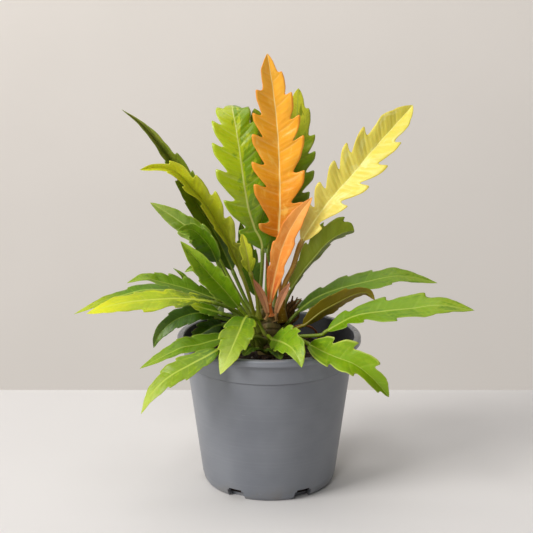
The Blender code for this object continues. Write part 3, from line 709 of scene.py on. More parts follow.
@dataclass
class Leaf:
    """One leaf: a stalk from the stem and a lobed blade.

    root is its bearing in degrees and its height on the stem, line the points that its stalk and
    midrib pass through, stalk how many of them belong to the stalk, half the half-width of the
    blade, and left and right how far each half is folded towards the upper face at the foot,
    middle and tip. teeth are the places of the lobes' points on each margin, and notch the depths
    of the cuts between them at the foot and the tip. foot is the blade's width at its foot, peak
    where it is widest, and the higher the taper, the blunter the tip. scale widens or narrows
    each half. clear is how far the foot stands off the stem, hook how far the lobes sweep
    forward, and pucker and wave how much the blade swells between its veins and its margin waves.
    """

    name: str
    finish: LeafFinish
    root: tuple[float, float]
    line: list[Spot]
    half: float
    left: Spot
    right: Spot
    stalk: int = 2
    teeth: Teeth = spaced(5, 0.8)
    notch: tuple[float, float] = (0.3, 0.2)
    foot: float = 0.32
    peak: float = 0.35
    taper: float = 1.75
    facing: Facing = Facing.FRONT
    scale: tuple[float, float] = (1.0, 1.0)
    clear: float = 2.0
    stalk_half: float = 1.9
    slot: str = "leaf_green"
    hook: float = 0.16
    pucker: float = 0.6
    wave: float = 1.0

    COLUMNS = 12
    ROW_PITCH = 1.05 * MM
    EDGE = 0.25 * MM
    MIDDLE_THICKNESS = 0.8 * MM
    MARGIN_THICKNESS = 0.22 * MM

    def spine(self, stand: Stand) -> Spine:
        """Draws the line of the stalk and midrib on this pot."""
        bearing = math.radians(self.root[0])
        out = stand.stem_radius + self.clear * MM
        height = stand.place((0.0, 0.0, self.root[1]))[2]
        start = np.array([out * math.cos(bearing), out * math.sin(bearing), height])
        return Spine(np.array([start, *(stand.place(spot) for spot in self.line)]))

    def stations(self, spine: Spine) -> np.ndarray:
        """Spreads rows along the midrib.

        Args:
            spine: The stalk and midrib.

        Returns:
            Shares of the blade's length from 0 to 1.
        """
        blade = spine.length - spine.knots[self.stalk]
        return np.linspace(0.0, 1.0, max(60, math.ceil(blade / self.ROW_PITCH)))

    def envelope(self, t: np.ndarray) -> np.ndarray:
        """Half-width of the blade without its lobes, from 0 to 1."""
        rise = self.foot + (1 - self.foot) * np.sin(np.clip(t / self.peak, 0, 1) * np.pi / 2)
        x = np.clip((t - self.peak) / (1 - self.peak), 0, 1)
        fall = (1 - x**self.taper) ** 0.9 * (1 - 0.25 * x)
        return np.where(t < self.peak, rise, fall)

    def half_sheet(self, half: Half, spine: Spine, t: np.ndarray,
                   rng: np.random.Generator) -> tuple[np.ndarray, np.ndarray, np.ndarray]:
        """Lays one half of the blade out from the midrib.

        Args:
            half: Which half.
            spine: The stalk and midrib.
            t: Shares of the blade's length, one for each row.
            rng: The leaf's own random numbers.

        Returns:
            Points by row and column, their distances from the midrib, and their columns' shares.
        """
        index = 0 if half is Half.LEFT else 1
        folds = (self.left, self.right)[index]
        cut, point = Margin(self.teeth[index], self.notch).reach(t, rng)
        width = self.half * MM * self.envelope(t) * cut * self.scale[index]
        width *= np.sqrt(1 - (1 - np.clip(t / 0.05, 0, 1)) ** 2)
        width = np.maximum(width, self.EDGE + self.stalk_half * MM * (1 - t) * 0.3)
        u = (np.arange(self.COLUMNS + 1) / self.COLUMNS) ** 1.45
        reach = width[:, None] * u
        blade_start = spine.knots[self.stalk]
        blade = spine.length - blade_start
        sweep = 0.15 + 0.8 * t[:, None] + self.hook * point[:, None] * u**2
        s = blade_start + t[:, None] * blade + reach * sweep
        _, face, side = spine.axes(s, self.facing)
        fold = np.radians(np.interp(t, (0.0, 0.5, 1.0), folds))[:, None, None]
        droop = 0.10 * (u - u**2)[None, :, None]
        out = side * (half.value * np.cos(fold)) + face * (np.sin(fold) + droop)
        return spine.at(s) + out * reach[..., None], reach, u

    def relief(self, t: np.ndarray, q: np.ndarray, u: np.ndarray, width: np.ndarray,
               rng: np.random.Generator) -> np.ndarray:
        """Raises the blade between its side veins and waves its margin.

        Args:
            t: Shares of the blade's length, one for each row.
            q: How many lobes lie below each row.
            u: Shares of the half-width, one for each column.
            width: The half-width at each row.
            rng: The leaf's own random numbers.

        Returns:
            Heights above the plain sheet, by row and column.
        """
        run = (q - VEIN_PHASE)[:, None]
        size = np.minimum(width / (18 * MM), 1.2)[:, None]
        body = np.sin(np.pi * np.clip(u, 0, 1) ** 0.8)
        strong = (1 - np.cos(2 * np.pi * run)) * 0.5 - 0.5
        fine = (1 - np.cos(8 * np.pi * run)) * 0.5 - 0.5
        puff = self.pucker * MM * size * body * (0.75 * strong + 0.22 * fine)
        turn = rng.uniform(0, 2 * np.pi)
        slow = np.sin(3.5 * q[:, None] + turn) + 0.5 * np.sin(8.2 * q[:, None] + 2 * turn)
        hang = np.sin(np.pi * np.clip(t, 0, 1))[:, None]
        return puff + self.wave * 1.1 * MM * size * u**2.2 * slow * hang

    def blade_shell(self, spine: Spine) -> Shell:
        """Builds the blade as a thin closed sheet.

        Args:
            spine: The stalk and midrib.

        Returns:
            The sheet, thick at the midrib and thin at the margin.
        """
        rng = np.random.default_rng(seed_of(self.name))
        t = self.stations(spine)
        lobes = [Margin(points, self.notch).lobe(t) for points in self.teeth]
        sheets = {}
        for half, q in zip(Half, lobes):
            points, reach, u = self.half_sheet(half, spine, t, rng)
            heights = self.relief(t, q, u, reach[:, -1], rng)
            sheets[half] = (points, reach, heights)
        left, right = sheets[Half.LEFT], sheets[Half.RIGHT]
        points = np.concatenate([left[0][:, :0:-1], right[0]], axis=1)
        heights = np.concatenate([left[2][:, :0:-1], right[2]], axis=1)
        offset = np.concatenate([-left[1][:, :0:-1], right[1]], axis=1)
        across = np.concatenate([-u[:0:-1], u])[None, :].repeat(len(t), axis=0)
        sides = [lobes[0]] * self.COLUMNS + [(lobes[0] + lobes[1]) / 2] + [lobes[1]] * self.COLUMNS
        lobe = np.stack(sides, axis=1)
        blade_start = spine.knots[self.stalk]
        face = spine.axes(blade_start + t * (spine.length - blade_start), self.facing)[1]
        normal = np.cross(np.gradient(points, axis=1), np.gradient(points, axis=0))
        normal = unit(unit(normal) + 0.15 * face[:, None])
        ridge = 0.3 * MM * np.exp(-((offset / (1.0 * MM)) ** 2)) * (1 - t[:, None])
        points = points + normal * (heights + ridge)[..., None]
        thin = (1 - np.abs(across)) ** 0.7 * (1 - 0.5 * t[:, None])
        thick = self.MARGIN_THICKNESS + (self.MIDDLE_THICKNESS - self.MARGIN_THICKNESS) * thin
        lift = normal * (thick / 2)[..., None]
        return self.stitch(points + lift, points - lift, offset, across, t, lobe)

    @staticmethod
    def stitch(top: np.ndarray, bottom: np.ndarray, offset: np.ndarray, across: np.ndarray,
               t: np.ndarray, lobe: np.ndarray) -> Shell:
        """Joins the upper and lower faces round the margin.

        Args:
            top: Points of the upper face by row and column.
            bottom: Points of the lower face.
            offset: Distances from the midrib.
            across: Shares of the half-width, negative on the left.
            t: Shares of the blade's length.
            lobe: How many lobes lie below each point.

        Returns:
            The closed sheet.
        """
        rows, columns = across.shape
        grid = np.arange(rows * columns).reshape(rows, columns)
        quads = np.stack([grid[:-1, :-1], grid[:-1, 1:], grid[1:, 1:], grid[1:, :-1]], axis=-1).reshape(-1, 4)
        ring = np.concatenate([grid[0, :-1], grid[:-1, -1], grid[-1, :0:-1], grid[:0:-1, 0]])
        size = rows * columns
        rim = np.stack([ring, np.roll(ring, -1), np.roll(ring, -1) + size, ring + size], axis=-1)
        faces = np.vstack([quads, quads[:, ::-1] + size, rim])
        lengthwise = np.broadcast_to(t[:, None], across.shape)
        numbers = {
            "across": np.tile(across.ravel(), 2),
            "offset": np.tile(offset.ravel(), 2),
            "along": np.tile(lengthwise.ravel(), 2),
            "lobe": np.tile(lobe.ravel(), 2),
            "under": np.repeat([0.0, 1.0], size),
        }
        points = np.vstack([top.reshape(-1, 3), bottom.reshape(-1, 3)])
        return Shell(points, [tuple(face) for face in faces.tolist()], numbers)

    def stalk_shell(self, spine: Spine, stand: Stand) -> Shell:
        """Builds the stalk, with its clasping foot, and the midrib that carries it on.

        Args:
            spine: The stalk and midrib.
            stand: Where the plant stands; not used.

        Returns:
            A closed tube, with its attribute along from -1 at the stem to 1 at the leaf's tip.
        """
        blade_start = spine.knots[self.stalk]
        blade = spine.length - blade_start
        lower = np.linspace(0.0, blade_start, 40)
        upper = blade_start + np.linspace(0.0, 0.93, 70)[1:] * blade
        s = np.concatenate([lower, upper])
        along = np.where(s < blade_start, s / blade_start - 1, (s - blade_start) / blade)
        _, face, side = spine.axes(s, self.facing)
        t = np.clip(along, 0, 1)
        foot = 1 - smoothstep(0.0, 0.22, 1 + along)
        joint = np.exp(-(((along + 0.06) / 0.05) ** 2))
        half = self.stalk_half * MM
        papery = self.finish.grain is Grain.LENGTHWISE
        flare, flat = (0.35, 0.45) if papery else (1.1, 1.0)
        wide = half * (1 + flare * foot + 0.14 * joint) * (1 - 0.72 * t) * (1 - 0.3 * smoothstep(0, 0.1, t))
        thick = wide * (0.85 - 0.35 * foot) * flat
        sunk = -smoothstep(-0.05, 0.04, along) * (thick * 0.72 + 0.1 * MM)
        centres = spine.at(s) + face * sunk[:, None]
        inner = centres[0] * np.array([0.0, 0.0, 1.0]) + centres[0] * np.array([1.0, 1.0, 0.0]) * 0.5
        inner[2] -= 2 * MM
        lead = np.linspace(0.0, 1.0, 5)[:-1, None]
        near = centres[0] * lead + inner * (1 - lead)
        centres = np.vstack([near, centres])
        pad = [(4, 0)]
        side = np.vstack([side[:1].repeat(4, axis=0), side])
        face = np.vstack([face[:1].repeat(4, axis=0), face])
        wide, thick, along = (np.pad(values, pad, mode="edge") for values in (wide, thick, along))
        return Shell.tube(centres, side, face, wide, thick, along)

    def build(self, stand: Stand) -> bpy.types.Object:
        """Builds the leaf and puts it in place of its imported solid.

        Args:
            stand: Where the plant stands.

        Returns:
            The finished piece.
        """
        spine = self.spine(stand)
        shells = [self.blade_shell(spine), self.stalk_shell(spine, stand)]
        materials = [self.finish.blade(self.name), self.finish.petiole(self.name)]
        piece = piece_from("grown_" + self.name, shells, materials)
        return take_place(piece, self.name)


def take_place(piece: bpy.types.Object, node: str) -> bpy.types.Object:
    """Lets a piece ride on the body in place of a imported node, and reports how well it fits.

    Args:
        piece: The finished piece.
        node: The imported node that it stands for.

    Returns:
        The same piece.
    """
    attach(piece, BODY)
    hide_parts(node)
    points = np.array([vertex.co for vertex in piece.data.vertices])
    low, high = np.array(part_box(node))
    over = max((low - points.min(axis=0)).max(), (points.max(axis=0) - high).max())
    log.info("%s: %d faces, %.1f mm past its solid", piece.name, len(piece.data.polygons), over / MM)
    return piece


# --- pot and soil ----------------------------------------------------------------------------
def lathe(name: str, profile: np.ndarray, steps: int) -> bpy.types.Object:
    """Turns a profile about the Z axis.

    Args:
        name: The object's name.
        profile: Radius and height of each point, from the axis round to the axis again.
        steps: How many points one turn has.

    Returns:
        The object, linked to the scene.
    """
    rings = profile[1:-1]
    turn = np.arange(steps) * 2 * np.pi / steps
    x = rings[:, :1] * np.cos(turn)
    y = rings[:, :1] * np.sin(turn)
    z = np.broadcast_to(rings[:, 1:], x.shape)
    middles = [[0.0, 0.0, profile[0, 1]], [0.0, 0.0, profile[-1, 1]]]
    points = np.vstack([np.stack([x, y, z], axis=-1).reshape(-1, 3), middles])
    return piece_from(name, [Shell(points, joined_rings(len(rings), steps), {})], [])


def rounded(corners: list[tuple[float, float, float]], steps: int = 6) -> np.ndarray:
    """Rounds the corners of a profile.

    Args:
        corners: Radius, height and rounding radius of each corner.
        steps: How many short runs make one rounded corner.

    Returns:
        The profile's points.
    """
    spots = np.array(corners)[:, :2]
    points = [spots[0]]
    for before, here, after, (_, _, radius) in zip(spots, spots[1:], spots[2:], corners[1:]):
        to_before, to_after = unit(before - here), unit(after - here)
        half_turn = math.acos(float(np.clip(to_before @ to_after, -1, 1))) / 2
        room = 0.48 * min(np.linalg.norm(before - here), np.linalg.norm(after - here))
        back = min(radius / max(math.tan(half_turn), 0.05), room)
        if back < 0.05 * MM:
            points.append(here)
            continue
        for f in np.linspace(0.0, 1.0, steps + 1):
            first = here + to_before * back * (1 - f)
            second = here + to_after * back * f
            points.append(first * (1 - f) + second * f)
    points.append(spots[-1])
    return np.array(points)


@dataclass
class Pot:
    """The round nursery pot: a tapered moulded shell with a rolled rim, a collar and drain slots."""

    height: float
    rim_radius: float
    rim_width: float = 7.5 * MM
    rim_depth: float = 6.5 * MM
    overhang: float = 6.0 * MM
    ridge_below_rim: float = 26.0 * MM
    ridge_step: float = 2.0 * MM
    collar_taper: float = 1.6 * MM
    foot_inset: float = 30.5 * MM
    corner_swell: float = 5.5 * MM
    corner_height: float = 11.0 * MM
    wall: float = 1.8 * MM
    floor: float = 3.0 * MM
    slots: int = 6
    slot_width: float = 20.0 * MM
    slot_height: float = 10.5 * MM
    turns: int = 240

    def profile(self) -> np.ndarray:
        """Draws the pot's section, from the middle of its floor inside to the middle outside."""
        collar = self.rim_radius - self.overhang
        ridge = collar - self.collar_taper
        ridge_height = self.height - self.ridge_below_rim
        under = ridge_height - 1.5 * MM
        base = self.rim_radius - self.foot_inset
        corner = base + self.corner_swell
        top_wall = ridge - self.ridge_step
        low_rim = self.height - self.rim_depth
        inner_rim = self.rim_radius - self.rim_width
        inside = [
            (0.0, self.floor, 0.0),
            (base - self.wall - 1.5 * MM, self.floor, 3.0 * MM),
            (corner - self.wall - 1.0 * MM, self.floor + 7 * MM, 4.0 * MM),
            (top_wall - self.wall - 0.1 * MM, under, 0.5 * MM),
            (ridge - self.wall, ridge_height + 1.5 * MM, 0.5 * MM),
            (inner_rim - 0.6 * MM, low_rim, 1.0 * MM),
            (inner_rim, self.height - 1.2 * MM, 1.2 * MM),
            (inner_rim + 1.4 * MM, self.height, 1.0 * MM),
        ]
        outside = [
            (self.rim_radius - 0.2 * MM, self.height, 2.6 * MM),
            (self.rim_radius, low_rim + 0.2 * MM, 1.4 * MM),
            (self.rim_radius - 2.4 * MM, low_rim, 0.4 * MM),
            (collar + 0.4 * MM, low_rim + 1.4 * MM, 0.4 * MM),
            (collar - 0.1 * MM, low_rim - 0.6 * MM, 0.5 * MM),
            (ridge, ridge_height, 0.5 * MM),
            (top_wall, under, 0.8 * MM),
            (corner, self.corner_height, 6.0 * MM),
            (corner - 1.6 * MM, 4.5 * MM, 3.0 * MM),
            (base + 1.4 * MM, 0.8 * MM, 1.0 * MM),
            (base, 0.0, 0.6 * MM),
            (0.0, 0.0, 0.0),
        ]
        return rounded(inside + outside)

    def cut_slots(self, shell: bpy.types.Object) -> None:
        """Cuts the drain slots through the foot of the wall and the edge of the floor.

        Args:
            shell: The turned pot.
        """
        for i in range(self.slots):
            turn = (i + 0.5) * 2 * math.pi / self.slots - math.pi / 2
            net = bmesh.new()
            bmesh.ops.create_cube(net, size=1.0)
            for corner in net.verts:
                corner.co.x = corner.co.x * 16 * MM + self.rim_radius - self.foot_inset + 3 * MM
                corner.co.y *= self.slot_width * (0.94 if corner.co.z > 0 else 1.0)
                corner.co.z *= 2 * self.slot_height
            edges = [edge for edge in net.edges if all(end.co.z > 0 for end in edge.verts)]
            lengthwise = [e for e in edges if abs(e.verts[0].co.x - e.verts[1].co.x) > 5 * MM]
            bmesh.ops.bevel(net, geom=lengthwise, offset=2.2 * MM, segments=4, affect="EDGES")
            bmesh.ops.rotate(net, verts=net.verts, cent=(0, 0, 0), matrix=Matrix.Rotation(turn, 3, "Z"))
            mesh = bpy.data.meshes.new("drain_cutter")
            net.to_mesh(mesh)
            net.free()
            cutter = bpy.data.objects.new("drain_cutter", mesh)
            bpy.context.scene.collection.objects.link(cutter)
            step = shell.modifiers.new("slot", "BOOLEAN")
            step.operation = "DIFFERENCE"
            step.solver = "EXACT"
            step.object = cutter
            settle(shell)
            bpy.data.objects.remove(cutter, do_unlink=True)

    def outside_finish(self) -> bpy.types.Material:
        """Makes the satin grey plastic, with dull streaks, fine scuffs, a little dust, and thin dark lines
        painted as shade under the rim and along the ridge.
        """
        recipe = Recipe("pot_plastic")
        place = recipe.place()
        height = recipe.height()
        low_rim = self.height - self.rim_depth
        ridge = self.height - self.ridge_below_rim
        broad = recipe.noise(place, 14.0, 3.0)
        colour = recipe.blend(recipe.ease(broad, 0.3, 0.7), (110, 114, 122), (124, 128, 135))
        rings = recipe.noise(recipe.stretch(place, (6.0, 6.0, 900.0)), 1.0, 2.0)
        colour = recipe.blend(recipe.ease(rings, 0.5, 0.8, 0.10), colour, (152, 154, 158))
        scuffs = recipe.noise(recipe.stretch(place, (60.0, 60.0, 420.0)), 1.0, 4.0, 0.7)
        marks = recipe.ease(scuffs, 0.66, 0.74, 0.30)
        colour = recipe.blend(marks, colour, (162, 163, 165))
        low = recipe.math("SUBTRACT", 1.0, recipe.ease(height, 0.0, 22 * MM))
        grime = recipe.noise(place, 55.0, 4.0, 0.65)
        dust = recipe.math("MULTIPLY", low, recipe.ease(grime, 0.42, 0.7, 0.5))
        colour = recipe.blend(dust, colour, (118, 112, 104))
        splash = recipe.ease(recipe.noise(place, 120.0, 3.0, 0.6), 0.70, 0.78, 0.4)
        high = recipe.ease(height, ridge, self.height - 8 * MM)
        colour = recipe.blend(recipe.math("MULTIPLY", splash, high), colour, (84, 82, 78))
        # Painted shade: thin dark lines under the rolled rim and along the ridge step, standing in for the
        # shade in these creases.
        for level, reach, depth in ((low_rim, 1.1 * MM, 0.8), (ridge, 1.0 * MM, 0.45)):
            away = recipe.math("ABSOLUTE", recipe.math("SUBTRACT", height, level - 0.4 * MM))
            painted_shade_line = recipe.math("SUBTRACT", depth, recipe.ease(away, 0.0, reach, depth))
            colour = recipe.blend(painted_shade_line, colour, (44, 45, 48))
        grain = recipe.math("MULTIPLY_ADD", rings, 0.5, recipe.noise(place, 1100.0, 2.0))
        recipe.bump(grain, 0.12 * MM, 0.35)
        rough = recipe.math("MULTIPLY_ADD", broad, 0.16, 0.34)
        worn = recipe.ease(height, low_rim, low_rim + 1 * MM, 0.14)
        rough = recipe.math("SUBTRACT", rough, worn)
        rough = recipe.math("ADD", rough, recipe.math("MULTIPLY", marks, 0.5))
        return recipe.finish(colour, rough, Specular_IOR_Level=0.5, Coat_Weight=0.12, Coat_Roughness=0.25)

    def inside_shaded_finish(self) -> bpy.types.Material:
        """Makes the inside of the shell in a grey painted darker than the outside's as shade, with dried soil
        on it.
        """
        recipe = Recipe("pot_inside_painted_shade")
        place = recipe.place()
        cloud = recipe.noise(place, 60.0, 5.0, 0.65)
        # Painted shade: this grey is darker than the outside's, standing in for the shade inside the pot.
        colour = recipe.blend(recipe.ease(cloud, 0.35, 0.7), (66, 68, 72), (52, 52, 54))
        crust = recipe.ease(recipe.noise(place, 240.0, 4.0, 0.7), 0.58, 0.68)
        level = recipe.ease(recipe.height(), self.height - self.ridge_below_rim, self.height - 10 * MM)
        stuck = recipe.math("MULTIPLY", crust, recipe.math("SUBTRACT", 1.0, level))
        colour = recipe.blend(stuck, colour, (46, 34, 26))
        recipe.bump(recipe.math("ADD", cloud, stuck), 0.3 * MM, 0.6)
        return recipe.finish(colour, recipe.math("MULTIPLY_ADD", cloud, 0.2, 0.4), Specular_IOR_Level=0.45)

    def build(self) -> bpy.types.Object:
        """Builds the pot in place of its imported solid.

        Returns:
            The finished piece.
        """
        shell = lathe("nursery_pot", self.profile(), self.turns)
        self.cut_slots(shell)
        shell.data.materials.clear()
        shell.data.materials.append(self.outside_finish())
        shell.data.materials.append(self.inside_shaded_finish())
        edge = self.rim_radius - self.rim_width
        for face in shell.data.polygons:
            middle = face.center
            inward = middle.x * face.normal.x + middle.y * face.normal.y < 0
            inner = math.hypot(middle.x, middle.y) < edge + 0.4 * MM and middle.z > self.floor - 0.2 * MM
            # Faces inside the rim take the darker material that is painted as shade.
            face.material_index = int(inner and (inward or face.normal.z > 0.5))
            face.use_smooth = True
        shell.data.set_sharp_from_angle(angle=math.radians(38))
        return take_place(shell, "pot")


def settle(obj: bpy.types.Object) -> None:
    """Applies an object's modifiers to its mesh.

    Args:
        obj: The object.
    """
    shape = obj.evaluated_get(bpy.context.evaluated_depsgraph_get())
    mesh = bpy.data.meshes.new_from_object(shape)
    obj.modifiers.clear()
    obj.data = mesh


@dataclass
class Soil:
    """The crumbly potting mix, with bark chips and grit on top."""

    top: float
    radius: float
    bottom: float
    foot_radius: float
    mound_height: float = 3.2 * MM
    mound_reach: float = 28 * MM
    rings: int = 60
    turns: int = 180
    crumbs: int = 520

    def mound(self, radius: np.ndarray) -> np.ndarray:
        """Height of the low mound round the stem."""
        return self.mound_height * np.exp(-((radius / self.mound_reach) ** 2))

    def lumps(self, x: np.ndarray, y: np.ndarray) -> np.ndarray:
        """Height of the uneven surface above its middle level."""
        total = np.zeros_like(x)
        rng = np.random.default_rng(11)
        for size, depth in ((38, 1.1), (21, 0.8), (11, 0.55), (6, 0.4), (3.4, 0.25)):
            for _ in range(5):
                angle = rng.uniform(0, 2 * np.pi)
                turn = rng.uniform(0, 2 * np.pi)
                run = (x * math.cos(angle) + y * math.sin(angle)) / (size * MM) * 2 * np.pi
                total += np.sin(run + turn) * depth * MM * 0.4
        return total

    def plug(self) -> Shell:
        """Builds the plug of soil, closed underneath."""
        turn = np.arange(self.turns) * 2 * np.pi / self.turns
        radii = np.linspace(0.0, self.radius, self.rings + 1)[1:]
        x = radii[:, None] * np.cos(turn)
        y = radii[:, None] * np.sin(turn)
        sunk = 1.6 * MM * smoothstep(0.9, 1.0, radii / self.radius)
        z = self.top + (self.mound(radii) - sunk)[:, None] + self.lumps(x, y)
        surface = np.stack([x, y, z], axis=-1)
        low = []
        for radius, height in ((self.radius - 0.4 * MM, self.top - 9 * MM), (self.foot_radius, self.bottom)):
            ring = [radius * np.cos(turn), radius * np.sin(turn), np.full_like(turn, height)]
            low.append(np.stack(ring, axis=-1)[None])
        grid = np.concatenate([surface, *low])
        middles = [[0.0, 0.0, self.top + self.mound_height], [0.0, 0.0, self.bottom]]
        points = np.vstack([grid.reshape(-1, 3), middles])
        return Shell(points, joined_rings(len(grid), self.turns), {"kind": np.zeros(len(points))})

    def chips(self) -> list[Shell]:
        """Scatters crumbs, bark chips and grit over the surface."""
        rng = np.random.default_rng(29)
        ball = bmesh.new()
        bmesh.ops.create_icosphere(ball, subdivisions=1, radius=1.0)
        ball.verts.index_update()
        unit_points = np.array([vertex.co for vertex in ball.verts])
        unit_faces = [tuple(vertex.index for vertex in face.verts) for face in ball.faces]
        ball.free()
        made = []
        for i in range(self.crumbs):
            chip = i % 4 == 0
            size = rng.uniform(1.0, 2.2) if chip else rng.uniform(0.5, 1.5)
            reach = self.radius * 0.965 * math.sqrt(rng.uniform(0.03, 1.0))
            bearing = rng.uniform(0, 2 * np.pi)
            x, y = reach * math.cos(bearing), reach * math.sin(bearing)
            rough = unit_points * rng.uniform(0.75, 1.2, (len(unit_points), 1))
            shape = rough * (np.array([2.1, 1.1, 0.55]) if chip else rng.uniform(0.7, 1.2, 3)) * size * MM
            turn = rng.uniform(0, 2 * np.pi)
            lean = rng.uniform(-0.5, 0.5)
            spin = np.array(Matrix.Rotation(turn, 3, "Z") @ Matrix.Rotation(lean, 3, "X"))
            shape = shape @ spin.T
            ground = self.top + self.mound(reach) + float(self.lumps(np.array([x]), np.array([y]))[0])
            shape = shape + np.array([x, y, ground + size * 0.25 * MM])
            kind = np.full(len(shape), rng.uniform(0.2, 1.0))
            made.append(Shell(shape, unit_faces, {"kind": kind}))
        return made

    def material(self) -> bpy.types.Material:
        """Makes damp dark peat with browner bark, a few pale grains and small dark spots painted as shade in
        hollows.
        """
        recipe = Recipe("potting_mix")
        place = recipe.place()
        cloud = recipe.noise(place, 180.0, 5.0, 0.7)
        colour = recipe.blend(recipe.ease(cloud, 0.35, 0.7), (30, 22, 17), (62, 46, 34))
        kind = recipe.attribute("kind")
        colour = recipe.blend(recipe.ease(kind, 0.25, 0.9, 0.7), colour, (96, 70, 48))
        grit = recipe.ease(kind, 0.93, 0.97, 0.8)
        colour = recipe.blend(grit, colour, (168, 158, 142))
        # Painted shade: small dark spots standing in for the shade in the soil's hollows.
        shade_spot_distance = recipe.ease(recipe.cells(place, 420.0), 0.0, 0.18)
        painted_hollow_shade = recipe.math("MULTIPLY_ADD", shade_spot_distance, -0.4, 0.4)
        colour = recipe.blend(painted_hollow_shade, colour, (18, 14, 11))
        recipe.bump(recipe.math("ADD", cloud, recipe.noise(place, 700.0, 3.0, 0.7)), 0.8 * MM, 0.9)
        return recipe.finish(colour, recipe.math("MULTIPLY_ADD", cloud, 0.2, 0.74), Specular_IOR_Level=0.3)

    def build(self) -> bpy.types.Object:
        """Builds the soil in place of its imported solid.

        Returns:
            The finished piece.
        """
        piece = piece_from("potting_soil", [self.plug(), *self.chips()], [self.material()])
        return take_place(piece, "soil")


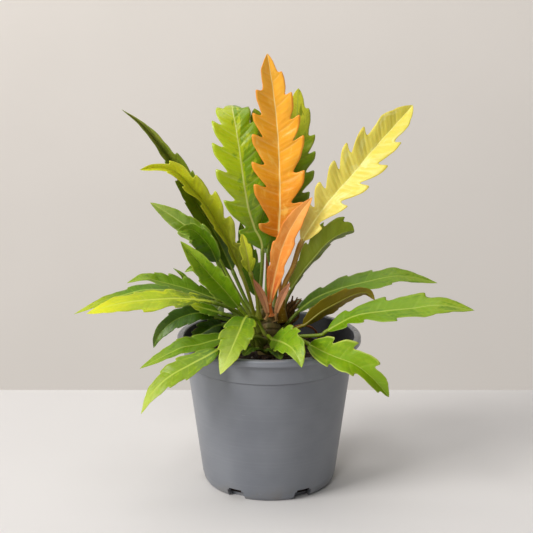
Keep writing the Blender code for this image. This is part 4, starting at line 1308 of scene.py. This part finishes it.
# --- stem, fibres and root -------------------------------------------------------------------
@dataclass
class Stem:
    """The short stem, ringed with the scars of old leaves, and the dry parts that cling to it."""

    stand: Stand
    foot: float
    top: float
    rings: int = 90
    turns: int = 64
    scars: int = 9
    strands: int = 78

    def trunk(self) -> bpy.types.Object:
        """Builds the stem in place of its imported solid.

        Returns:
            The finished piece.
        """
        rng = np.random.default_rng(5)
        levels = np.linspace(0.0, 1.0, self.rings)
        turn = np.arange(self.turns) * 2 * np.pi / self.turns
        base = self.stand.stem_radius
        taper = base * (1 - 0.36 * smoothstep(0.62, 0.98, levels))
        taper = taper * np.sqrt(np.clip(1 - np.clip((levels - 0.93) / 0.075, 0, 1) ** 2, 0.02, 1))
        phase = levels[:, None] * self.scars + 0.35 * np.sin(turn)[None] + 0.2 * np.sin(2 * turn + 1)[None]
        scar = np.exp(-(((phase % 1.0) - 0.5) / 0.13) ** 2)
        rise = levels[:, None]
        grain = 0.25 * np.sin(9 * turn + 5 * rise) + 0.2 * np.sin(17 * turn - 9 * rise)
        grain += rng.uniform(-0.15, 0.15, grain.shape)
        radius = taper[:, None] * (1 - 0.07 * scar) + (grain - 0.5) * 0.5 * MM
        z = self.foot + levels[:, None] * (self.top - self.foot)
        x = radius * np.cos(turn)
        y = radius * np.sin(turn)
        profile = np.stack([x, y, np.broadcast_to(z, x.shape)], axis=-1)
        points = np.vstack([profile.reshape(-1, 3), [[0, 0, self.foot], [0, 0, self.top]]])
        scars = np.concatenate([scar.ravel(), [0.0, 0.0]])
        shell = Shell(points, joined_rings(self.rings, self.turns), {"scar": scars})
        piece = piece_from("ringed_stem", [shell], [self.bark()])
        return take_place(piece, "stem")

    def bark(self) -> bpy.types.Material:
        """Makes olive-brown bark with paler scars."""
        recipe = Recipe("stem_bark")
        cloud = recipe.noise(recipe.stretch(recipe.place(), (120.0, 120.0, 40.0)), 1.0, 4.0, 0.65)
        colour = recipe.blend(recipe.ease(cloud, 0.35, 0.7), (96, 92, 40), (124, 102, 58))
        colour = recipe.blend(recipe.math("MULTIPLY", recipe.attribute("scar"), 0.7), colour, (70, 52, 32))
        lenticels = recipe.ease(recipe.noise(recipe.place(), 420.0, 2.0), 0.62, 0.7, 0.6)
        colour = recipe.blend(lenticels, colour, (158, 140, 92))
        recipe.bump(cloud, 0.5 * MM, 0.8)
        return recipe.finish(colour, recipe.math("MULTIPLY_ADD", cloud, 0.2, 0.5), Specular_IOR_Level=0.35)

    def dry_fibres(self) -> bpy.types.Object:
        """Builds the torn fibres left by an old leaf's foot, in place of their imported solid.

        Returns:
            The finished piece.
        """
        rng = np.random.default_rng(17)
        low, high = (np.array(corner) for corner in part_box("dry_leaf_foot"))
        size = high - low
        strands = []
        for i in range(self.strands):
            papery = i % 2 == 0
            start = low + size * rng.uniform((0.0, 0.0, -0.15), (0.6, 0.6, 0.2))
            end = low + size * rng.uniform((0.0, 0.0, 0.3), (1.15, 1.1, 1.0))
            sway = rng.uniform(-2.6, 2.6, (2, 3)) * MM
            middle = [start + (end - start) * 0.35 + sway[0], start + (end - start) * 0.7 + sway[1]]
            spine = Spine(np.array([start, *middle, end]), steps=6)
            s = np.linspace(0.0, spine.length, 18)
            _, face, side = spine.axes(s, Facing.FRONT)
            broad = rng.uniform(1.4, 2.6) if papery else rng.uniform(0.25, 0.55)
            wide = broad * MM * (1 - 0.75 * (s / spine.length) ** 2)
            thick = wide * (0.16 if papery else 0.9)
            shade = np.full(len(s), rng.uniform(0, 1))
            strands.append(Shell.tube(spine.at(s), side, face, wide, thick, shade, corners=7, slot=0))
        piece = piece_from("dry_fibres", strands, [self.dry_finish()])
        return take_place(piece, "dry_leaf_foot")

    @staticmethod
    def dry_finish() -> bpy.types.Material:
        """Makes papery brown fibre, each strand in its own shade."""
        recipe = Recipe("dry_fibre")
        colour = recipe.blend(recipe.attribute("along"), (84, 50, 20), (140, 106, 56))
        streaks = recipe.noise(recipe.stretch(recipe.place(), (900.0, 900.0, 120.0)), 1.0, 3.0)
        colour = recipe.blend(recipe.ease(streaks, 0.45, 0.7, 0.6), colour, (48, 30, 20))
        recipe.bump(streaks, 0.3 * MM, 0.8)
        return recipe.finish(colour, recipe.math("MULTIPLY_ADD", streaks, 0.2, 0.65), Specular_IOR_Level=0.3)

    def root(self) -> bpy.types.Object:
        """Builds the bare root that arches from the stem into the soil.

        Returns:
            The finished piece.
        """
        spots = [(15, 12, -7), (24, 18, 0), (36, 28, 1), (48, 40, -7), (53, 46, -19)]
        knots = np.array([self.stand.place(spot) for spot in spots])
        knots[0, :2] *= 0.62
        spine = Spine(knots)
        s = np.linspace(0.0, spine.length, 60)
        _, face, side = spine.axes(s, Facing.UP)
        swell = 1 + 0.12 * np.sin(s / (3.1 * MM)) + 0.08 * np.sin(s / (1.3 * MM) + 1)
        wide = 1.45 * MM * swell * (1 - 0.3 * s / spine.length)
        tube = Shell.tube(spine.at(s), side, face, wide, wide, s / spine.length, slot=0)
        recipe = Recipe("root_skin")
        skin = recipe.noise(recipe.stretch(recipe.place(), (500.0, 500.0, 500.0)), 1.0, 3.0)
        colour = recipe.blend(recipe.ease(skin, 0.35, 0.7), (170, 84, 36), (206, 128, 66))
        colour = recipe.blend(recipe.ease(recipe.attribute("along"), 0.5, 1.0, 0.6), colour, (82, 52, 36))
        recipe.bump(skin, 0.25 * MM, 0.7)
        material = recipe.finish(colour, recipe.math("MULTIPLY_ADD", skin, 0.2, 0.45), Specular_IOR_Level=0.4)
        return take_place(piece_from("bare_root", [tube], [material]), "aerial_root")


# --- the plant -------------------------------------------------------------------------------
@dataclass
class Plant:
    """All the leaves and the sheaths between them."""

    stand: Stand

    @staticmethod
    def leaves() -> list[Leaf]:
        """Lists the leaves, from the upright ones round to the small ones at the foot."""
        return [
            # upright leaves
            Leaf("leaf_orange_tall", ORANGE, (35, 23),
                 [(10, 6, 100), (11, 6, 139), (9, 6, 200), (4, 1, 249), (-2, -10, 287)],
                 28.5, (12, 15, 20), (20, 20, 30), stalk=1,
                 teeth=((0.04, 0.235, 0.34, 0.485, 0.6, 0.74), (0.15, 0.295, 0.46, 0.565, 0.7, 0.84)),
                 notch=(0.62, 0.25), taper=2.2, foot=0.78, peak=0.40, pucker=1.3, slot="leaf_orange"),
            Leaf("leaf_salmon_young", SALMON, (-78, 23),
                 [(1, -17, 37), (6, -21, 68), (14, -26, 100), (27, -32, 128), (42, -37, 150)],
                 11.5, (20, 20, 20), (20, 20, 20), stalk=1, teeth=((0.28, 0.47), (0.27, 0.52)),
                 notch=(0.32, 0.08), taper=2.2, foot=0.25, peak=0.5, pucker=0.9, slot="leaf_salmon"),
            Leaf("leaf_yellow_right", LEMON, (-20, 15),
                 [(15, -18, 54), (24, -20, 76), (33, -22, 103), (56, -26, 140), (83, -26, 172),
                  (101, -24, 194), (141, -12, 237)],
                 25, (15, 15, 15), (42, 32, 40), stalk=3,
                 teeth=((0.17, 0.275, 0.395, 0.5, 0.62), (0.11, 0.275, 0.41, 0.54, 0.69)),
                 notch=(0.62, 0.22), taper=2.2, peak=0.5, stalk_half=2.6, pucker=1.3, slot="leaf_yellow"),
            Leaf("leaf_lime_left", LIME_DARK, (135, 24),
                 [(-7, 10, 87), (-15, 10, 110), (-21, 9, 130), (-26, 9, 159), (-30, 13, 189),
                  (-34, 20, 213), (-37, 29, 227), (-38, 41, 231)],
                 28, (10, 10, 10), (0, -5, -5), stalk=1,
                 teeth=((0.13, 0.29, 0.45, 0.6, 0.74, 0.87), (0.12, 0.26, 0.42, 0.57, 0.72, 0.86)),
                 notch=(0.62, 0.28), taper=3, foot=0.4, peak=0.55, pucker=1.1, slot="leaf_lime"),
            Leaf("leaf_dark_upright", LEAF_GREEN, (105, 23),
                 [(-1, 27, 83), (0, 32, 134), (-5, 36, 181), (-11, 34, 212), (-15, 32, 229)],
                 26, (0, 0, 0), (0, 0, 0), stalk=1, notch=(0.42, 0.25), taper=2.2, foot=0.45,
                 slot="leaf_dark"),
            Leaf("leaf_green_upright", GREEN_TO_LIME, (70, 22),
                 [(14, 36, 95), (20, 44, 146), (27, 48, 196), (30, 46, 248)],
                 25, (0, 0, 0), (0, 0, 0), stalk=1,
                 teeth=((0.22, 0.38, 0.52, 0.66, 0.8), (0.25, 0.38, 0.5, 0.6, 0.8)), notch=(0.45, 0.22),
                 taper=2.2, foot=0.4),
            # upper left
            Leaf("leaf_dark_folded", DARK_TO_OLIVE, (165, 17),
                 [(-24, 10, 33), (-38, 14, 64), (-57, 22, 103), (-75, 28, 131), (-93, 32, 163),
                  (-112, 34, 190), (-129, 34, 211), (-150, 32, 228)],
                 21.5, (40, 70, 74), (16, 46, 74), teeth=spaced(5, 0.62), notch=(0.3, 0.1), taper=1.8,
                 slot="leaf_dark"),
            Leaf("leaf_curled_yellow", CURLED, (200, 15),
                 [(-22, -14, 50), (-29, -18, 71), (-41, -22, 101), (-53, -26, 123), (-64, -30, 143),
                  (-76, -33, 158), (-90, -35, 174), (-108, -36, 179), (-126, -36, 177)],
                 19, (75, 75, 50), (20, 30, 60), notch=(0.5, 0.3), taper=2.2, peak=0.4, pucker=1.2,
                 slot="leaf_yellow"),
            Leaf("leaf_small_curled", CURLED, (224, 18),
                 [(-13, -11, 46), (-19, -22, 71), (-22, -30, 91), (-27, -34, 113)],
                 8, (20, 20, 20), (20, 20, 20), teeth=spaced(2, 0.7), notch=(0.4, 0.2), taper=2.2,
                 slot="leaf_lime"),
            Leaf("leaf_pale_left", PALE_BLUE, (184, 11),
                 [(-35, -3, 49), (-52, -3, 81), (-67, -3, 101), (-84, -2, 114), (-101, -1, 126),
                  (-120, -1, 138)],
                 13, (20, 20, 20), (20, 20, 20), teeth=spaced(3, 0.5), notch=(0.18, 0.06)),
            Leaf("leaf_folded_left", MID_GREEN, (215, 9),
                 [(-27, -14, 28), (-44, -22, 65), (-52, -26, 83), (-58, -29, 97), (-67, -31, 109),
                  (-77, -33, 117), (-90, -34, 116)],
                 16, (30, 30, 30), (55, 55, 55), stalk=3, teeth=spaced(4, 0.7), notch=(0.18, 0.08)),
            Leaf("leaf_light_left", FRESH, (231, 6),
                 [(-19, -20, 21), (-31, -26, 36), (-45, -32, 55), (-59, -37, 72), (-71, -42, 88),
                  (-87, -46, 108)],
                 16.5, (40, 40, 40), (40, 40, 40), teeth=spaced(3, 0.5), notch=(0.14, 0.06),
                 slot="leaf_lime"),
            Leaf("leaf_tip_left", LEAF_GREEN, (150, 9),
                 [(-31, 8, 27), (-48, 10, 47), (-68, 11, 61), (-78, 11, 67), (-87, 11, 63)],
                 7, (20, 20, 20), (20, 20, 20), teeth=spaced(2, 0.5), notch=(0.12, 0.06)),
            Leaf("leaf_hooked_left", MID_GREEN, (142, 1),
                 [(-40, 18, 29), (-64, 18, 38), (-82, 17, 49), (-90, 16, 59), (-99, 15, 66)],
                 4, (20, 20, 20), (20, 20, 20), teeth=spaced(2, 0.5), notch=(0.2, 0.1), stalk_half=1.2,
                 slot="leaf_olive"),
            # lower left
            Leaf("leaf_upper_left", LEAF_GREEN, (176, 1),
                 [(-30, 4, 27), (-56, 4, 36), (-81, 2, 46), (-111, 0, 55), (-127, -2, 59), (-145, -4, 55)],
                 14.5, (65, 68, 66), (-35, -35, -35), teeth=spaced(4, 0.66), notch=(0.34, 0.1),
                 scale=(0.65, 1.0)),
            Leaf("leaf_yellow_left", YELLOW_TIPPED, (196, 1),
                 [(-30, -8, 24), (-58, -20, 39), (-87, -25, 44), (-115, -28, 44), (-142, -31, 42),
                  (-162, -33, 38), (-183, -34, 31)],
                 17, (50, 48, 50), (-50, -52, -50), teeth=((0.1, 0.24, 0.46), (0.14, 0.3, 0.52)),
                 notch=(0.34, 0.08), peak=0.45, slot="leaf_yellow"),
            Leaf("leaf_behind_left", LIME_TIPPED, (160, -5),
                 [(-46, 20, 25), (-83, 26, 36), (-125, 30, 39), (-152, 32, 33), (-178, 32, 25),
                  (-206, 32, 12)],
                 11, (50, 50, 50), (-50, -50, -50), teeth=spaced(3, 0.5), notch=(0.15, 0.06)),
            Leaf("leaf_small_yellow", LIME_TIPPED, (222, 1),
                 [(-27, -18, 19), (-50, -34, 32), (-78, -44, 43)],
                 7, (30, 30, 30), (-30, -30, -30), teeth=spaced(2, 0.6), notch=(0.25, 0.1),
                 slot="leaf_lime"),
            Leaf("leaf_drooping_left", DEEP_GREEN, (211, -7),
                 [(-30, -20, 15), (-55, -29, 27), (-70, -34, 32), (-89, -37, 28), (-103, -39, 19),
                  (-112, -40, 8), (-116, -40, -3)],
                 12, (35, 35, 35), (35, 35, 35), teeth=spaced(3, 0.5), notch=(0.16, 0.06),
                 slot="leaf_dark"),
            Leaf("leaf_inner_dark", DEEP_GREEN, (190, -14),
                 [(-24, -6, 6), (-48, -18, 15), (-64, -24, 10), (-80, -28, -1)],
                 12, (20, 20, 20), (20, 20, 20), teeth=spaced(3, 0.7), notch=(0.34, 0.15), taper=1.6,
                 clear=2.4, slot="leaf_dark"),
            Leaf("leaf_front_left", LEAF_GREEN, (229, -11),
                 [(-19, -21, 8), (-37, -36, 8), (-57, -50, 7), (-71, -60, 6), (-85, -68, 6), (-99, -74, 1),
                  (-126, -82, -11)],
                 13.5, (62, 62, 62), (-40, -40, -40), teeth=spaced(3, 0.52), notch=(0.16, 0.06)),
            Leaf("leaf_front_low", FRESH_TIPPED, (250, -5),
                 [(-13, -29, 5), (-31, -50, 6), (-50, -76, 6), (-62, -86, 2), (-78, -92, -5),
                  (-98, -96, -16), (-115, -99, -33), (-124, -100, -51)],
                 14, (40, 40, 50), (-30, -35, -60), stalk=3, teeth=spaced(3, 0.55), notch=(0.22, 0.08),
                 slot="leaf_lime"),
            # front
            Leaf("leaf_front_arched", FRESH_TIPPED, (254, 3),
                 [(-13, -25, 23), (-23, -45, 30), (-30, -70, 21), (-38, -90, 7), (-47, -100, -11)],
                 18, (10, 10, 10), (10, 10, 10), teeth=((0.16, 0.34, 0.5), (0.22, 0.42, 0.58)),
                 notch=(0.24, 0.06), taper=1.4, foot=0.6, facing=Facing.UP),
            Leaf("leaf_front_small", FRESH, (-84, -6),
                 [(-1, -24, 5), (3, -40, 6), (13, -64, 10), (22, -84, 10), (27, -94, 5), (31, -100, -4)],
                 21, (50, 50, 50), (-40, -25, 0), teeth=((0.1, 0.26, 0.46), (0.16, 0.34, 0.54)),
                 notch=(0.26, 0.08), taper=1.4, foot=0.5, facing=Facing.UP, scale=(1.0, 0.6)),
            Leaf("leaf_front_large", PALE_EDGED, (-58, -7),
                 [(16, -26, 11), (29, -45, 9), (40, -62, 7), (53, -76, 4), (66, -86, 1), (82, -94, -3),
                  (99, -100, -15), (115, -102, -33)],
                 22.5, (20, 15, 15), (60, 58, 55), stalk=3, teeth=((0.2, 0.38, 0.6), (0.26, 0.48, 0.8)),
                 notch=(0.46, 0.26), taper=1.6),
            # right
            Leaf("leaf_low_right", FRESH, (-35, -5),
                 [(26, -18, 2), (52, -22, 5), (59, -24, 10), (85, -28, 26), (111, -31, 32), (141, -34, 36),
                  (171, -36, 40), (205, -36, 35)],
                 20, (-40, -42, -42), (62, 58, 56), stalk=3, teeth=((0.13, 0.35, 0.6), (0.12, 0.22, 0.41)),
                 notch=(0.52, 0.06), peak=0.45),
            Leaf("leaf_high_right", LEAF_GREEN, (20, 3),
                 [(20, 4, 11), (30, 8, 21), (46, 12, 33), (68, 16, 42), (100, 19, 50), (136, 21, 56),
                  (175, 20, 49)],
                 17.5, (-45, -48, -50), (55, 58, 58), teeth=((0.18, 0.34, 0.5), (0.24, 0.42, 0.6)),
                 notch=(0.32, 0.06), peak=0.45),
            Leaf("leaf_olive_low", OLIVE, (-5, -3),
                 [(21, -6, 5), (35, -10, 12), (53, -12, 27), (70, -12, 37), (87, -10, 45), (100, -9, 46),
                  (108, -8, 38)],
                 13.5, (10, 10, 10), (10, 10, 10), teeth=spaced(3, 0.6), notch=(0.14, 0.08),
                 facing=Facing.UNDER, slot="leaf_olive"),
            Leaf("leaf_olive_high", OLIVE_GREEN, (8, 15),
                 [(16, 5, 29), (23, 8, 45), (35, 10, 64), (47, 11, 79), (59, 12, 93), (73, 12, 103),
                  (87, 12, 107)],
                 19.5, (58, 54, 40), (35, 26, 24), teeth=((0.15, 0.32, 0.52, 0.74), (0.22, 0.4, 0.6, 0.78)),
                 notch=(0.34, 0.16), taper=2.6, peak=0.6, facing=Facing.BACK, slot="leaf_olive"),
            # small leaves low at the front and larger ones at the back
            Leaf("leaf_low_middle", DEEP_GREEN, (272, -15),
                 [(-1, -30, -8), (4, -44, -4), (8, -58, -2), (11, -72, -5)],
                 11, (10, 10, 10), (10, 10, 10), stalk=1, teeth=spaced(3, 0.72), notch=(0.3, 0.15),
                 facing=Facing.UP, clear=2.6, slot="leaf_dark"),
            Leaf("leaf_low_front", DEEP_GREEN, (252, -15),
                 [(-12, -30, -7), (-19, -44, -3), (-25, -60, -5)],
                 9, (10, 10, 10), (10, 10, 10), stalk=1, teeth=spaced(2, 0.62), notch=(0.3, 0.15),
                 facing=Facing.UP, clear=2.6, slot="leaf_dark"),
            Leaf("leaf_behind_stalks", MID_GREEN, (118, 16),
                 [(-12, 22, 34), (-19, 30, 58), (-25, 35, 84), (-30, 38, 110)],
                 13, (10, 10, 10), (10, 10, 10), stalk=1, teeth=spaced(4, 0.72), notch=(0.3, 0.12),
                 taper=1.6),
            Leaf("leaf_back_high", MID_GREEN, (88, 11),
                 [(3, 28, 41), (6, 50, 65), (8, 80, 75), (8, 110, 65), (6, 132, 41)],
                 20, (15, 15, 15), (15, 15, 15), teeth=spaced(5, 0.72), notch=(0.46, 0.2), taper=2.2,
                 facing=Facing.UP, slot="leaf_dark"),
            Leaf("leaf_back_left", LEAF_GREEN, (125, -1),
                 [(-20, 26, 15), (-36, 48, 19), (-50, 76, 13), (-60, 104, -9), (-64, 120, -39)],
                 17, (15, 15, 15), (15, 15, 15), teeth=spaced(4, 0.68), notch=(0.42, 0.18),
                 facing=Facing.UP),
            Leaf("leaf_back_right", LEAF_GREEN, (50, -1),
                 [(18, 26, 13), (32, 46, 17), (44, 72, 11), (54, 98, -11), (58, 112, -39)],
                 17, (15, 15, 15), (15, 15, 15), teeth=spaced(4, 0.68), notch=(0.42, 0.18),
                 facing=Facing.UP),
            # thin sheaths round the youngest leaf
            Leaf("sheath_left", SHEATH, (-106, 19),
                 [(-2, -19, 27), (-7, -22, 46), (-16, -27, 65)],
                 4.2, (20, 20, 20), (20, 20, 20), stalk=1, teeth=spaced(1, 0.8), notch=(0, 0), taper=2.2,
                 foot=0.55, peak=0.5, stalk_half=1.3, slot="sheath"),
            Leaf("sheath_right", SHEATH, (-58, 17),
                 [(7, -19, 27), (12, -23, 44), (21, -25, 61)],
                 4.0, (20, 20, 20), (20, 20, 20), stalk=1, teeth=spaced(1, 0.8), notch=(0, 0), taper=2.2,
                 foot=0.55, peak=0.5, stalk_half=1.3, slot="sheath"),
            Leaf("sheath_strip", SHEATH_STRIP, (-114, 29),
                 [(-1, -12, 43), (-1, -12, 63), (-3, -11, 86)],
                 2.2, (20, 20, 20), (20, 20, 20), stalk=1, teeth=spaced(1, 0.8), notch=(0, 0), taper=2.2,
                 foot=0.6, stalk_half=1.3, slot="sheath"),
        ]

    def build(self) -> list[bpy.types.Object]:
        """Builds every leaf in order."""
        return [leaf.build(self.stand) for leaf in self.leaves()]


# --- studio ----------------------------------------------------------------------------------
@dataclass
class Studio:
    """Pale floor and wall, soft light from the left, and the camera."""

    floor_edge: float = 0.276
    wall_distance: float = 1.6
    camera_spot: Spot = (-0.0027, -1.25, 0.529)
    camera_dip: float = 13.52
    lens: float = 85.04

    def slab(self, name: str, low: Spot, high: Spot, material: bpy.types.Material) -> bpy.types.Object:
        """Builds one flat slab of the backdrop.

        Args:
            name: The slab's name.
            low: Its lowest corner.
            high: Its highest corner.
            material: Its finish.

        Returns:
            The slab, marked as staging.
        """
        net = bmesh.new()
        bmesh.ops.create_cube(net, size=1.0)
        for corner in net.verts:
            share = [value + 0.5 for value in corner.co]
            corner.co = [a + (b - a) * f for a, b, f in zip(low, high, share)]
        mesh = bpy.data.meshes.new(name)
        net.to_mesh(mesh)
        net.free()
        mesh.materials.append(material)
        obj = bpy.data.objects.new(name, mesh)
        bpy.context.scene.collection.objects.link(obj)
        return obj

    def paint(self, name: str, shade: Shade, glow: float = 0.0) -> bpy.types.Material:
        """Makes matt paint with a faint unevenness.

        Args:
            name: The material's name.
            shade: Its colour.
            glow: How strongly it is lit from within.

        Returns:
            The material.
        """
        recipe = Recipe(name)
        cloud = recipe.noise(recipe.place(), 3.0, 3.0)
        colour = recipe.blend(recipe.ease(cloud, 0.3, 0.7, 0.5), shade, darker(shade, 0.985))
        recipe.bump(recipe.noise(recipe.place(), 220.0, 3.0), 0.2 * MM, 0.15)
        recipe.feed(recipe.shader.inputs["Emission Color"], colour)
        return recipe.finish(colour, 0.7, Specular_IOR_Level=0.25, Emission_Strength=glow)

    def backdrop(self) -> None:
        """Builds the floor and the wall behind it."""
        thick = 0.02
        self.slab("studio_floor", (-2.5, -2.2, -thick), (2.5, self.floor_edge, 0.0),
                  self.paint("floor_paint", (229, 227, 226)))
        self.slab("studio_wall", (-4.0, self.wall_distance, -2.0), (4.0, self.wall_distance + thick, 3.0),
                  self.paint("wall_paint", (225, 219, 212), 0.22))

    def light(self, name: str, spot: Spot, target: Spot, size: float, watts: float, shade: Shade) -> None:
        """Hangs a soft square light.

        Args:
            name: The light's name.
            spot: Where it hangs.
            target: What it points at.
            size: Its side.
            watts: Its power.
            shade: Its colour.
        """
        lamp = bpy.data.lights.new(name, "AREA")
        lamp.shape = "SQUARE"
        lamp.size = size
        lamp.energy = watts
        lamp.color = linear(shade)[:3]
        obj = bpy.data.objects.new(name, lamp)
        obj.location = spot
        aim = Vector(target) - Vector(spot)
        obj.rotation_euler = aim.to_track_quat("-Z", "Y").to_euler()
        bpy.context.scene.collection.objects.link(obj)

    def lights(self) -> None:
        """Hangs the key light at the left front, a weak light above, a small one in front, and a pale
        ambient.
        """
        middle = (0.0, 0.0, 0.2)
        self.light("key", (-4.25, -2.38, 2.75), middle, 2.55, 262.0, (255, 252, 249))
        self.light("top", (-0.2, 0.0, 2.2), middle, 1.4, 13.0, (255, 253, 251))
        self.light("front", (-0.5, -2.2, 2.0), middle, 0.5, 12.0, (255, 254, 252))
        world = bpy.data.worlds.new("ambient")
        world.use_nodes = True
        sky = world.node_tree.nodes["Background"]
        sky.inputs["Color"].default_value = linear((246, 246, 248))
        sky.inputs["Strength"].default_value = 0.16
        bpy.context.scene.world = world

    def camera(self) -> None:
        """Stands the camera in front, a little above the plant and tipped down."""
        camera = bpy.data.cameras.new("camera")
        camera.sensor_width = 36.0
        camera.lens = self.lens
        camera.clip_end = 50.0
        obj = bpy.data.objects.new("camera", camera)
        obj.location = self.camera_spot
        obj.rotation_euler = (math.radians(90 - self.camera_dip), 0.0, 0.0)
        bpy.context.scene.collection.objects.link(obj)
        bpy.context.scene.camera = obj

    def build(self) -> None:
        """Sets up everything that isn't part of the object."""
        self.camera()
        self.backdrop()
        self.lights()
        bpy.context.scene.view_settings.view_transform = "Standard"


def main() -> None:
    """Builds the studio, the pot, the soil and the plant."""
    logging.basicConfig(level=logging.INFO, format="%(message)s")
    Studio().build()
    pot_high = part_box("pot")[1]
    soil_low, soil_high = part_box("soil")
    stem_low, stem_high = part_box("stem")
    stand = Stand(rim_height=pot_high[2], rim_radius=pot_high[0], stem_radius=stem_high[0])
    Pot(height=pot_high[2], rim_radius=pot_high[0]).build()
    Soil(top=soil_high[2] - SOIL_MOUND_ROOM, radius=soil_high[0], bottom=soil_low[2],
         foot_radius=soil_high[0] - SOIL_TAPER).build()
    stem = Stem(stand, foot=stem_low[2], top=stem_high[2])
    stem.trunk()
    Plant(stand).build()
    stem.dry_fibres()
    stem.root()


if __name__ == "__main__":
    main()
